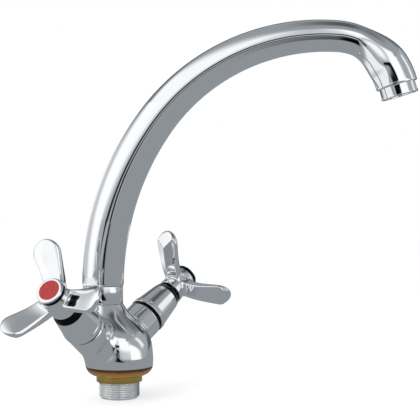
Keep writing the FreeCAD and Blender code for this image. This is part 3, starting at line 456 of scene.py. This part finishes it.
shank_heights = np.linspace(-SHANK_LENGTH, -0.02, 92)
shank_inside = [(SHANK_UPPER_RADIUS, 0.0), (SHANK_UPPER_RADIUS, SHANK_TOP), (SHANK_BORE, SHANK_TOP),
                (SHANK_BORE, -SHANK_LENGTH + BORE_CHAMFER), (SHANK_BORE + BORE_CHAMFER, -SHANK_LENGTH)]
shank_vertices = []
for step in range(SHANK_STEPS):
    share = step / SHANK_STEPS
    a = 2 * math.pi * share
    for r, h in shank_inside + [(thread_radius(h, share), h) for h in shank_heights]:
        shank_vertices.append(Vector((r * math.cos(a), r * math.sin(a), h)) * MM)
shank_faces = woven(SHANK_STEPS, len(shank_inside) + len(shank_heights))
piece("shank_thread", shank_vertices, shank_faces, "tap_body", shank_steel, "threaded_shank",
      crease=50.0)

# %% [markdown]
# ## Surfaces from a formula
# The casting's trunk and arms, and the handle's hub and lobes, run into each other with no seam. A formula that is
# negative inside the metal and positive outside describes that well: two shapes melt together where a soft minimum
# takes the place of the plain one. The surface is found on a grid, then each point is moved onto the formula's exact
# zero, and the formula's slope becomes the normal, so a mirror finish shows no grid.


# %% Soft joins and smooth curves
def soft_min(a, b, width):
    """The smaller of a and b, rounded over width where they are nearly equal."""
    mix = np.clip(0.5 + 0.5 * (b - a) / width, 0.0, 1.0)
    return b + (a - b) * mix - width * mix * (1 - mix)


def soft_max(a, b, width):
    return -soft_min(-a, -b, width)


def smooth_curve(knots, values):
    """Natural cubic spline through the points, as a function of an array."""
    x, y = np.asarray(knots, float), np.asarray(values, float)
    h, n = np.diff(x), len(x)
    rows, right = np.eye(n), np.zeros(n)
    for i in range(1, n - 1):
        rows[i, i - 1:i + 2] = h[i - 1], 2 * (h[i - 1] + h[i]), h[i]
        right[i] = 6 * ((y[i + 1] - y[i]) / h[i] - (y[i] - y[i - 1]) / h[i - 1])
    bend = np.linalg.solve(rows, right)

    def at(t):
        t = np.clip(t, x[0], x[-1])
        i = np.clip(np.searchsorted(x, t) - 1, 0, n - 2)
        a, b, w = x[i + 1] - t, t - x[i], h[i]
        return ((bend[i] * a ** 3 + bend[i + 1] * b ** 3) / (6 * w)
                + (y[i] / w - bend[i] * w / 6) * a + (y[i + 1] / w - bend[i + 1] * w / 6) * b)

    return at


# %% Find the surface of a formula
SLOPE_REACH = 0.01
SETTLING_ROUNDS = 6


def slope(field, points):
    """How fast the field grows along x, y and z at each point."""
    parts = []
    for shift in np.eye(3) * SLOPE_REACH:
        parts.append((field(points + shift) - field(points - shift)) / (2 * SLOPE_REACH))
    return np.stack(parts, axis=-1)


def crossing_points(grid, value):
    """Per grid cell that the surface crosses, the mean of the places where it cuts the cell's edges."""
    inside = value < 0
    shape = np.array(value.shape) - 1
    total, hits = np.zeros((*shape, 3)), np.zeros(shape)

    def window(array, corner):
        return array[tuple(slice(c, c + size) for c, size in zip(corner, shape))]

    for near in np.ndindex(2, 2, 2):
        for axis in range(3):
            if near[axis]:
                continue
            far = tuple(c + (i == axis) for i, c in enumerate(near))
            crossed = window(inside, near) != window(inside, far)
            a, b = window(value, near), window(value, far)
            t = np.where(crossed, a / np.where(crossed, a - b, 1.0), 0.0)
            spot = window(grid, near) + t[..., None] * (window(grid, far) - window(grid, near))
            total += np.where(crossed[..., None], spot, 0.0)
            hits += crossed
    used = hits > 0
    number = np.full(shape, -1)
    number[used] = np.arange(used.sum())
    return total[used] / hits[used][:, None], number


def crossing_quads(inside, number):
    """One quad round each grid edge that the surface cuts, from the numbers of the four cells beside it."""
    shape = number.shape
    quads = []
    for axis in range(3):
        u, v = (axis + 1) % 3, (axis + 2) % 3
        first = [slice(0, shape[i]) if i == axis else slice(1, shape[i]) for i in range(3)]
        second = list(first)
        second[axis] = slice(1, shape[axis] + 1)
        a, b = inside[tuple(first)], inside[tuple(second)]
        for starts, keep in ((a & ~b, False), (~a & b, True)):
            cell = np.argwhere(starts)
            cell[:, [u, v]] += 1
            ring = []
            for du, dv in ((-1, -1), (0, -1), (0, 0), (-1, 0)):
                beside = cell.copy()
                beside[:, u] += du
                beside[:, v] += dv
                ring.append(number[tuple(beside.T)])
            ring = np.stack(ring[::-1] if keep else ring, axis=1)
            quads.append(ring[(ring >= 0).all(axis=1)])
    return np.concatenate(quads)


def surface_of(field, low, high, step):
    """Vertices and quads, in mm, where field is zero inside the box."""
    axes = [np.arange(a, b + step, step) for a, b in zip(low, high)]
    grid = np.stack(np.meshgrid(*axes, indexing="ij"), axis=-1)
    value = field(grid)
    points, number = crossing_points(grid, value)
    for _ in range(SETTLING_ROUNDS):
        g = slope(field, points)
        move = field(points)[:, None] * g / np.maximum((g * g).sum(axis=1, keepdims=True), 1e-6)
        points = points - np.clip(move, -step, step)
    return points, crossing_quads(value < 0, number)


# %% Turn a formula into a piece
EDGE_ROLL, LIP_WIDTH = 0.35, 1.6


def cut_and_rolled(mesh, cuts):
    """Cuts the surface off at each (point, outward axis) and rolls a small edge there. Returns the faces before it."""
    for origin, axis in cuts:
        everything = mesh.verts[:] + mesh.edges[:] + mesh.faces[:]
        bmesh.ops.bisect_plane(mesh, geom=everything, plane_co=origin - axis * EDGE_ROLL, plane_no=axis,
                               clear_outer=True, dist=1e-4)
    rims = []
    for origin, axis in cuts:
        rims.append([edge for edge in mesh.edges if edge.is_boundary
                     and all(abs((v.co - origin).dot(axis) + EDGE_ROLL) < 1e-3 for v in edge.verts)])
    skin = set(mesh.faces)
    for rim, (origin, axis) in zip(rims, cuts):
        for inward, forward in ((EDGE_ROLL * 0.3, EDGE_ROLL * 0.7), (EDGE_ROLL * 0.7, EDGE_ROLL * 0.3),
                                (LIP_WIDTH, 0.0)):
            grown = bmesh.ops.extrude_edge_only(mesh, edges=rim)["geom"]
            rim = [g for g in grown if isinstance(g, bmesh.types.BMEdge) and g.is_boundary]
            for vert in {v for edge in rim for v in edge.verts}:
                out = vert.co - origin
                out -= axis * out.dot(axis)
                vert.co += axis * forward - out.normalized() * inward
    return skin


def shade_by_slope(mesh, field, skin_flags):
    """The formula's own slope becomes the normal wherever the surface follows the formula."""
    places = np.zeros(len(mesh.vertices) * 3)
    mesh.vertices.foreach_get("co", places)
    g = slope(field, places.reshape(-1, 3))
    g /= np.maximum(np.linalg.norm(g, axis=1, keepdims=True), 1e-9)
    mesh.shade_smooth()
    mesh.set_sharp_from_angle(angle=math.radians(50))
    normals = [Vector(corner.vector) for corner in mesh.corner_normals]
    for face, on_skin in zip(mesh.polygons, skin_flags):
        if on_skin:
            for loop in face.loop_indices:
                normals[loop] = Vector(g[mesh.loops[loop].vertex_index])
    mesh.normals_split_custom_set(normals)


def formed(name, field, box, step, place, cuts, body, material, node):
    """A piece from a formula in mm, inside a box. Each cut is (point, outward axis)."""
    points, quads = surface_of(field, *box, step)
    draft = bmesh.new()
    corners = [draft.verts.new(p) for p in points]
    for quad in quads:
        draft.faces.new([corners[i] for i in quad])
    skin = cut_and_rolled(draft, [(Vector(origin), Vector(axis).normalized()) for origin, axis in cuts])
    skin_flags = [face in skin for face in draft.faces]
    bmesh.ops.recalc_face_normals(draft, faces=draft.faces[:])
    mesh = bpy.data.meshes.new(name)
    draft.to_mesh(mesh)
    draft.free()
    shade_by_slope(mesh, field, skin_flags)
    mesh.transform(place @ Matrix.Scale(MM, 4))
    put(mesh, body, material, node)


# %% [markdown]
# ## Body casting
# The trunk is a stack of circles whose centres drift back towards the neck; the arms are two cylinders that sweep up
# and a little forward. Soft minima join them, tight in the valleys beside the neck as on the real casting.

# %% Body casting
TRUNK_HEIGHTS = [10.5, 12.0, 20.6, 28.6, 35.8, 41.7, 46.7, 52.6]
TRUNK_CENTRES = [0.0, 0.0, 0.56, 2.1, 5.04, 8.54, 11.48, 14.0]
TRUNK_RADII = [23.1, 23.25, 23.4, 23.3, 21.5, 18.6, 15.85, 13.7]
trunk_centre = smooth_curve(TRUNK_HEIGHTS, TRUNK_CENTRES)
trunk_radius = smooth_curve(TRUNK_HEIGHTS, TRUNK_RADII)
ARM_RADIUS, ARM_REACH, ARM_END_ROUND = 13.6, 41.7, 1.6
ARM_START, ARM_START_BLEND = 6.0, 6.0
BELLY_BLEND, CROTCH_BLEND = 4.5, 2.6
BELLY_TOP, CROTCH_RISE = 27.0, 12.0
CASTING_BOX = (-48, -33, 8.5), (48, 38, 54.6)


def casting(p):
    """Negative inside the casting: the trunk, joined softly with both arms."""
    z = p[..., 2]
    result = np.hypot(p[..., 0], p[..., 1] - trunk_centre(z)) - trunk_radius(z)
    width = BELLY_BLEND + (CROTCH_BLEND - BELLY_BLEND) * np.clip((z - BELLY_TOP) / CROTCH_RISE, 0.0, 1.0)
    for arm in arms.values():
        local = (p - np.array(arm.translation) / MM) @ np.array(arm.to_3x3())
        along = local[..., 2]
        round_off = np.clip(along - (ARM_REACH - ARM_END_ROUND), 0.0, ARM_END_ROUND)
        radius = ARM_RADIUS - (ARM_END_ROUND - np.sqrt(np.maximum(ARM_END_ROUND ** 2 - round_off ** 2, 0.04)))
        outside = np.hypot(local[..., 0], local[..., 1]) - radius
        result = soft_min(result, soft_max(outside, ARM_START - along, ARM_START_BLEND), width)
    return result


casting_cuts = [((0, 0, RIM_HEIGHT), (0, 0, -1)), ((0, NECK_BACK, NECK_HEIGHT), (0, 0, 1))]
casting_cuts += [(arm @ Vector((0, 0, ARM_REACH * MM)) / MM, arm.to_3x3() @ Vector((0, 0, 1)))
                 for arm in arms.values()]
formed("casting_skin", casting, CASTING_BOX, 0.9, upright, casting_cuts,
       "tap_body", cast_chrome, "body_casting")

# %% [markdown]
# ## Spout
# A tube bent in one plane: three arcs of growing tightness, tapered, and flared again at the nose for the aerator.

# %% Spout
SPOUT_FOOT = 65.2
SPOUT_ARCS = [(193.0, math.radians(35.7)), (141.0, math.radians(58.6)), (45.4, math.radians(69.4))]
SPOUT_STRAIGHT = 1.2
SPOUT_AZIMUTH = math.radians(-61.0)
SPOUT_LENGTH = sum(r * a for r, a in SPOUT_ARCS) + SPOUT_STRAIGHT
SPOUT_RADIUS, THROAT_LOSS, NOSE_GAIN = 14.4, 3.9, 3.7
TAPER_START, TAPER_SHARE = 0.14, 0.73
FLARE_START, FLARE_SHARE = 0.87, 0.085
SPOUT_RINGS, SPOUT_STEPS = 200, 128
outward = Vector((math.cos(SPOUT_AZIMUTH), math.sin(SPOUT_AZIMUTH), 0))
sideways = Vector((0, 0, 1)).cross(outward)


def spout_at(travelled):
    """Centre in mm and heading of the spout's line, this far from its foot."""
    reach, height, lean, left = 0.0, SPOUT_FOOT, 0.0, travelled
    for radius, angle in SPOUT_ARCS:
        turn = min(left / radius, angle)
        reach += radius * (math.cos(lean) - math.cos(lean + turn))
        height += radius * (math.sin(lean + turn) - math.sin(lean))
        lean += turn
        left -= radius * turn
    reach += left * math.sin(lean)
    height += left * math.cos(lean)
    heading = outward * math.sin(lean) + Vector((0, 0, math.cos(lean)))
    return outward * reach + Vector((0, NECK_BACK, height)), heading


def spout_radius(travelled):
    share = travelled / SPOUT_LENGTH
    taper = min(max((share - TAPER_START) / TAPER_SHARE, 0.0), 1.0)
    flare = min(max(share - FLARE_START, 0.0) / FLARE_SHARE, 1.0)
    return SPOUT_RADIUS - THROAT_LOSS * taper + NOSE_GAIN * flare * flare * (3 - 2 * flare)


spout_profile = [(0.0, 9.6), (0.0, 14.1), (0.12, 14.32)]
for ring in range(SPOUT_RINGS + 1):
    ring_at = 0.3 + (SPOUT_LENGTH - 0.6) * ring / SPOUT_RINGS
    spout_profile.append((ring_at, spout_radius(ring_at)))
spout_profile += [(SPOUT_LENGTH - 0.12, 14.1), (SPOUT_LENGTH, 13.9), (SPOUT_LENGTH, 12.0), (SPOUT_LENGTH - 6.0, 12.0)]
spout_vertices = []
for travelled, radius in spout_profile:
    centre, heading = spout_at(travelled)
    upward = sideways.cross(heading)
    for step in range(SPOUT_STEPS):
        a = 2 * math.pi * step / SPOUT_STEPS
        spout_vertices.append((centre + (sideways * math.cos(a) + upward * math.sin(a)) * radius) * MM)
piece("spout_tube", spout_vertices, woven(len(spout_profile), SPOUT_STEPS, closed=False), "spout", turned_chrome,
      "spout", crease=60.0)

# %% [markdown]
# ## Collar nut
# A plain chromed ring, with a hair-thin dark line where it meets the casting below and the spout above.

# %% Collar nut
NUT_RADIUS, NUT_BORE, NUT_MOUTH = 13.85, 12.3, 9.4
NUT_FOOT, NUT_LIP, NUT_TOP = 52.75, 62.95, 64.95
nut_outline = [(NUT_BORE, NUT_FOOT), (NUT_RADIUS, NUT_FOOT, 0.3), (NUT_RADIUS, NUT_TOP, 0.3),
               (NUT_MOUTH, NUT_TOP), (NUT_MOUTH, NUT_LIP), (NUT_BORE, NUT_LIP)]
turned("collar_ring", nut_outline, neck_axis, "tap_body", turned_chrome, "spout_collar")

# %% [markdown]
# ## Aerator
# A chromed ring screwed into the nose, with two flats for a spanner. The ring is turned, and the flats come from
# pulling the points beyond them back onto a plane, as a milling cutter would leave them.

# %% Aerator
nose, nose_heading = spout_at(SPOUT_LENGTH)
nose_frame = axis_frame(nose * MM, nose_heading)
AERATOR_RADIUS, AERATOR_FOOT, AERATOR_FLAT = 12.8, 7.66, 11.9
FLAT_TOP, FLAT_FOOT, FLAT_GRAIN = 0.6, 5.9, 0.35
aerator_outline = [(10.4, -6.2), (11.9, -6.2), (11.9, 0.0), (AERATOR_RADIUS, 0.05, 0.25),
                   (AERATOR_RADIUS, AERATOR_FOOT, 0.5), (9.5, AERATOR_FOOT, 0.2), (9.5, 6.1), (10.4, 6.1)]
ring_points = rounded(aerator_outline)
dense = []
for a, b in zip(ring_points, ring_points[1:] + ring_points[:1]):
    on_the_side = min(a.x, b.x) > AERATOR_RADIUS - 0.3
    parts = max(1, int((b - a).length / FLAT_GRAIN)) if on_the_side else 1
    dense += [a.lerp(b, i / parts) for i in range(parts)]
vertices, faces = turned_mesh(dense, Matrix.Identity(4), 240)
milled = []
for v in vertices:
    x, y, z = v / MM
    if abs(x) > AERATOR_FLAT and FLAT_TOP <= z <= FLAT_FOOT:
        x = math.copysign(AERATOR_FLAT, x)
    milled.append(nose_frame @ (Vector((x, y, z)) * MM))
piece("aerator_ring", milled, faces, "spout", turned_chrome, "aerator_housing", crease=35.0)

# %% [markdown]
# ## Sleeves
# Each arm carries a tapered cover: a narrow band next to the casting, a cone, and a convex shoulder below the handle.

# %% Sleeves
SLEEVE_FOOT, SLEEVE_BORE, SLEEVE_MOUTH = ARM_REACH + 0.1, 11.6, 7.5
GROOVE_RADIUS, BAND_RADIUS = 12.9, 13.85
SHOULDER_FOOT, SHOULDER_TOP, SHOULDER_BEND = (10.95, 65.5), (8.9, 70.3), 10.95
sleeve_outline = [
    (SLEEVE_BORE, SLEEVE_FOOT), (GROOVE_RADIUS, SLEEVE_FOOT), (GROOVE_RADIUS, SLEEVE_FOOT + 1.8),
    (BAND_RADIUS, SLEEVE_FOOT + 2.1, 0.35), (BAND_RADIUS, SLEEVE_FOOT + 5.1, 0.35), (13.35, SLEEVE_FOOT + 5.6, 0.4),
    (*SHOULDER_FOOT, 0.25), *arc_between(SHOULDER_FOOT, SHOULDER_TOP, SHOULDER_BEND, 11),
    (SLEEVE_MOUTH, SHOULDER_TOP[1]), (SLEEVE_MOUTH, 62.5), (9.6, 61.2), (SLEEVE_BORE, SLEEVE_FOOT + 5.6),
]
for side, arm in arms.items():
    turned(f"{side}_sleeve_turned", sleeve_outline, arm, "tap_body", sleeve_chrome, f"{side}_sleeve")

# %% [markdown]
# ## Handles
# A round hub that widens to a skirt below and to the index cap's seat above, with three spoon-shaped lobes that rise
# outwards. A lobe is bowed on its outer side; its inner side is two flats that meet in a ridge, and it ends in a
# short slanted facet. Each of these is a formula, and soft joins of different widths make the crisp and the
# flowing places.

# %% Handle formula
SKIRT_START, HEAD_TOP = 71.9, 93.9
hub_radius = smooth_curve([71.9, 74.5, 79.5, 84.0, 88.0, 90.0, 91.5, 93.0, 93.9],
                          [9.7, 9.45, 8.7, 8.8, 9.35, 9.2, 8.9, 9.15, 9.2])
LOBE_TIP = 38.4
lobe_half_width = smooth_curve([0, 8, 14, 23, 31, 40], [6.8, 6.9, 7.3, 8.4, 9.5, 9.8])
lobe_crown = smooth_curve([3, 14, 23, 31, 35, 40], [86.3, 88.1, 91.4, 94.9, 96.3, 97.2])
LOBE_THICKNESS, LOBE_BOW, TIP_STRETCH = 10.0, 0.026, 0.95
FACET_RISE, TIP_RISE = 0.5, 0.9
TIP_FACET_START = 30.5
FACET_JOIN, SIDE_JOIN, TOP_JOIN = 0.5, 0.9, 2.0
HEAD_JOIN, HUB_JOIN = 1.8, 2.6
FAR_AWAY = 1e3


def lobe(x, y, z):
    """One lobe along local X: x outwards, y across, z along the arm's axis."""
    half = lobe_half_width(x)
    end = LOBE_TIP - half * TIP_STRETCH
    plan = np.hypot(np.maximum(x - end, 0.0) / TIP_STRETCH, y) - half
    crown = lobe_crown(x)
    top = z - (crown - LOBE_BOW * y * y)
    keel = (crown - LOBE_THICKNESS) - z
    facets = (keel + FACET_RISE * np.abs(y)) / math.hypot(1, FACET_RISE)
    tip_facet = (keel + TIP_RISE * (x - TIP_FACET_START)) / math.hypot(1, TIP_RISE)
    under = soft_max(facets, tip_facet, FACET_JOIN)
    return soft_max(soft_max(plan, top, TOP_JOIN), under, SIDE_JOIN)


def handle(p):
    """Negative inside the handle: the hub, joined softly with three lobes."""
    z = p[..., 2]
    hub = soft_max(np.hypot(p[..., 0], p[..., 1]) - hub_radius(z), z - HEAD_TOP, HEAD_JOIN)
    lobes = np.full(z.shape, FAR_AWAY)
    for index in range(3):
        a = 2 * math.pi * index / 3
        x = p[..., 0] * math.cos(a) + p[..., 1] * math.sin(a)
        y = -p[..., 0] * math.sin(a) + p[..., 1] * math.cos(a)
        lobes = np.minimum(lobes, np.where(x > 0, lobe(x, y, z), FAR_AWAY))
    return soft_min(hub, lobes, HUB_JOIN)


# %% Two handles with their index caps
PHASES = {"hot": 23.3, "cold": -2.5}
CAP_FINISH = {"hot": (index_red, "index_red"), "cold": (index_blue, "index_blue")}
HANDLE_BOX = (-40, -40, 70.0), (40, 40, 101.0)
CAP_RADIUS = 7.2
cap_outline = [(0.02, 91.6), (CAP_RADIUS, 91.6), (CAP_RADIUS, 93.6, 0.2), (CAP_RADIUS - 0.35, 94.02, 0.2),
               (3.5, 94.2), (0.02, 94.25)]
for side, arm in arms.items():
    turned_arm = arm @ Matrix.Rotation(math.radians(PHASES[side]), 4, "Z")
    formed(f"{side}_handle_skin", handle, HANDLE_BOX, 0.7, turned_arm,
           [((0, 0, SKIRT_START), (0, 0, -1))], f"{side}_handle", handle_chrome, f"{side}_handle")
    material, slot = CAP_FINISH[side]
    turned(f"{side}_index_disc", cap_outline, turned_arm, f"{side}_handle", material, f"{side}_index_cap", 96)

# %% [markdown]
# ## The pieces inside
# They are seen only through the aerator or when a piece is taken off, and their CAD shapes are right as they are,
# so each only gets its finish.

# %% Finishes of the inner pieces
inner_finishes = {
    seal_rubber: ["flange_seal", "lower_spout_seal", "upper_spout_seal", "aerator_washer", "hot_seat_seal",
                  "cold_seat_seal", "hot_spindle_seal", "cold_spindle_seal"],
    slip_plastic: ["lower_slip_ring", "upper_slip_ring"],
    inner_brass: ["spout_tailpiece", "hot_headwork_body", "cold_headwork_body", "hot_spindle", "cold_spindle"],
    ceramic: ["hot_fixed_disc", "cold_fixed_disc", "hot_moving_disc", "cold_moving_disc"],
    screen_steel: ["aerator_screen", "hot_spindle_clip", "cold_spindle_clip", "hot_handle_screw", "cold_handle_screw"],
    former_plastic: ["aerator_insert"],
}
for material, names in inner_finishes.items():
    for name in names:
        nodes[name].data.materials.clear()
        nodes[name].data.materials.append(material)
print("inner pieces:", sum(len(names) for names in inner_finishes.values()))

# %% [markdown]
# ## The studio
# Chrome shows what stands round it, and one photo doesn't tell what its studio was. This tent is a guess that gives
# similar reflections: a large bright wall on the left, bright panels high in front, white boards on the right, a grey
# table, a darker side behind the tap that darkens its outlines, and a few black gaps. The places and levels of its
# patches were fitted to how bright the photo's chrome is. Each wall is a plane that glows and that only reflections
# see, so the chrome mirrors the tent and not the white background. Patches are painted one over the other, in
# millimetres along the wall, and a level is the grey that the chrome shows there.


# %% Painted walls
TENT, FLOOR_HEIGHT = 1500.0, -11.5
CHROME_SHINE = 0.86
WHITE, COOL = (1.0, 1.0, 1.0), (0.88, 0.94, 1.0)
studio_turn = Matrix.Rotation(VIEW_AZIMUTH - math.pi / 2, 4, "Z")


def light_for(level):
    """Light that a chrome mirror shows as this grey of the picture, from 0 to 1."""
    return level ** 2.2 / CHROME_SHINE


def glowing(name, level_of):
    """A material that glows by a level made from the wall's own two measures, in mm."""
    material = bpy.data.materials.new(name)
    material.use_nodes = True
    tree = material.node_tree
    tree.nodes.clear()
    wire = Wire(tree)
    u, v, _ = split(wire, wire.node("ShaderNodeUVMap", {"uv_map": "mm"}))
    level = level_of(u, v)
    tint = blend(wire, level.between(0.3, 1.0), COOL, WHITE)
    glow = wire.node("ShaderNodeEmission", inputs={"Color": tint, "Strength": level})
    wire.node("ShaderNodeOutputMaterial", inputs={"Surface": glow})
    return material


def wall(name, fixed_axis, fixed, low, high, base, patches):
    """A wall across one studio axis (0 right, 1 away, 2 up), between low and high on the two others.
    A patch is (middle, half size, tilt in degrees, level, softness of its edge)."""
    first, second = [axis for axis in (0, 1, 2) if axis != fixed_axis]
    corners = []
    for u, v in ((low[0], low[1]), (high[0], low[1]), (high[0], high[1]), (low[0], high[1])):
        spot = Vector((0, 0, 0))
        spot[fixed_axis], spot[first], spot[second] = fixed, u, v
        corners.append((spot, (u, v)))
    mesh = bpy.data.meshes.new(name)
    mesh.from_pydata([tuple(studio_turn @ (spot * MM)) for spot, _ in corners], [], [(0, 1, 2, 3)])
    measures = mesh.uv_layers.new(name="mm")
    for loop, (_, uv) in zip(measures.data, corners):
        loop.uv = uv

    def level_of(u, v):
        level = u * 0.0 + light_for(base)
        for at, half, tilt, shown, soft in patches:
            c, s = math.cos(math.radians(tilt)), math.sin(math.radians(tilt))
            du, dv = u - at[0], v - at[1]
            along, across = du * c + dv * s, dv * c - du * s
            beyond = [abs(way).between(reach - soft, reach + soft) for way, reach in zip((along, across), half)]
            mask = (1 - beyond[0]) * (1 - beyond[1])
            level = level * (1 - mask) + mask * light_for(shown)
        return level

    mesh.materials.append(glowing(name, level_of))
    made = linked(bpy.data.objects.new(name, mesh))
    made.visible_camera = made.visible_diffuse = made.visible_shadow = False


# %% The tent
upright_span = (-TENT, FLOOR_HEIGHT + 0.02), (TENT, TENT)
level_span = (-TENT, -TENT), (TENT, TENT)
wall("left_wall", 0, -TENT, *upright_span, 0.99, [
    ((1162, 575), (820, 1401), -24, 0.77, 351),
    ((-1301, 2), (205, 457), 41, 0.82, 229),
])
wall("front_wall", 1, -TENT, *upright_span, 0.66, [
    ((890, 860), (640, 770), 0, 0.99, 190),
    ((-954, 1115), (681, 960), -86, 0.97, 255),
    ((-160, 245), (470, 88), 20, 0.05, 45),
    ((90, 50), (110, 60), 0, 0.08, 30),
])
wall("right_wall", 0, TENT, *upright_span, 0.64, [
    ((-981, 125), (825, 400), -35, 1.0, 130),
    ((-1450, 1200), (250, 350), 0, 0.8, 150),
    ((80, 740), (190, 520), 12, 0.93, 150),
    ((1185, 47), (701, 158), 49, 0.29, 208),
])
wall("back_wall", 1, TENT, *upright_span, 0.36, [
    ((-970, 340), (377, 653), 64, 0.9, 353),
    ((1137, 1233), (375, 606), 9, 0.25, 360),
])
wall("table", 2, FLOOR_HEIGHT + 0.03, *level_span, 0.575, [
    ((-920, -200), (710, 760), 0, 0.92, 110),
    ((-1040, 387), (311, 200), 17, 0.8, 200),
    ((55, -900), (110, 540), 0, 0.05, 45),
])
wall("ceiling", 2, TENT, *level_span, 0.6, [
    ((-1213, -738), (763, 1348), 21, 0.97, 360),
    ((720, -1480), (500, 260), 25, 0.95, 110),
    ((426, 72), (300, 500), -3, 0.34, 250),
    ((1053, 1156), (370, 626), -12, 0.44, 350),
])

# %% [markdown]
# ## World, floor and lamp
# The background is white to the camera. The world is white to reflections too, but there the tent's walls stand in
# front of it. Matt surfaces get an even light from the world and a soft direction from one large lamp. The floor glows
# to look white and keeps the tap's faint shadow, and that glow also lights matt surfaces a little from below.

# %% World
MATT_LIGHT = 0.65
world = bpy.data.worlds.new("studio")
bpy.context.scene.world = world
world.use_nodes = True
world.node_tree.nodes.clear()
wire = Wire(world.node_tree)
seen = wire.math("MAXIMUM", wire.node("ShaderNodeLightPath", output="Is Camera Ray"),
                 wire.math("MAXIMUM", wire.node("ShaderNodeLightPath", output="Is Glossy Ray"),
                           wire.node("ShaderNodeLightPath", output="Is Transmission Ray")))
light = wire.node("ShaderNodeBackground", inputs={
    "Color": (*WHITE, 1.0), "Strength": seen * (1 - MATT_LIGHT) + MATT_LIGHT})
wire.node("ShaderNodeOutputWorld", inputs={"Surface": light})
bpy.context.scene.view_settings.view_transform = "Standard"

# %% Floor
FLOOR_HALF, FLOOR_GREY, FLOOR_GLOW = 3.0, 0.7, 0.55
floor_mesh = bpy.data.meshes.new("floor")
floor_mesh.from_pydata([(x * FLOOR_HALF, y * FLOOR_HALF, FLOOR_HEIGHT * MM)
                        for x, y in ((-1, -1), (1, -1), (1, 1), (-1, 1))], [], [(0, 1, 2, 3)])
floor = linked(bpy.data.objects.new("floor", floor_mesh))
floor_material = bpy.data.materials.new("floor")
floor_material.use_nodes = True
floor_material.node_tree.nodes.clear()
wire = Wire(floor_material.node_tree)
matt = wire.node("ShaderNodeBsdfDiffuse", inputs={"Color": (FLOOR_GREY, FLOOR_GREY, FLOOR_GREY, 1.0)})
glow = wire.node("ShaderNodeEmission", inputs={"Color": (*WHITE, 1.0), "Strength": FLOOR_GLOW})
lit = wire.node("ShaderNodeAddShader", inputs={0: matt, 1: glow})
wire.node("ShaderNodeOutputMaterial", inputs={"Surface": lit})
floor_mesh.materials.append(floor_material)

# %% Lamp
LAMP_WATTS, LAMP_SIZE = 3.0, 0.6
LAMP_PLACE, LAMP_AIM = Vector((-0.5, -0.5, 0.7)), Vector((0, 0, 0.08))
lamp_data = bpy.data.lights.new("key", "AREA")
lamp_data.energy, lamp_data.size = LAMP_WATTS, LAMP_SIZE
lamp = linked(bpy.data.objects.new("key", lamp_data))
lamp.location = studio_turn @ LAMP_PLACE
lamp.rotation_euler = (LAMP_AIM - lamp.location).to_track_quat("-Z", "Y").to_euler()
lamp.visible_glossy = False
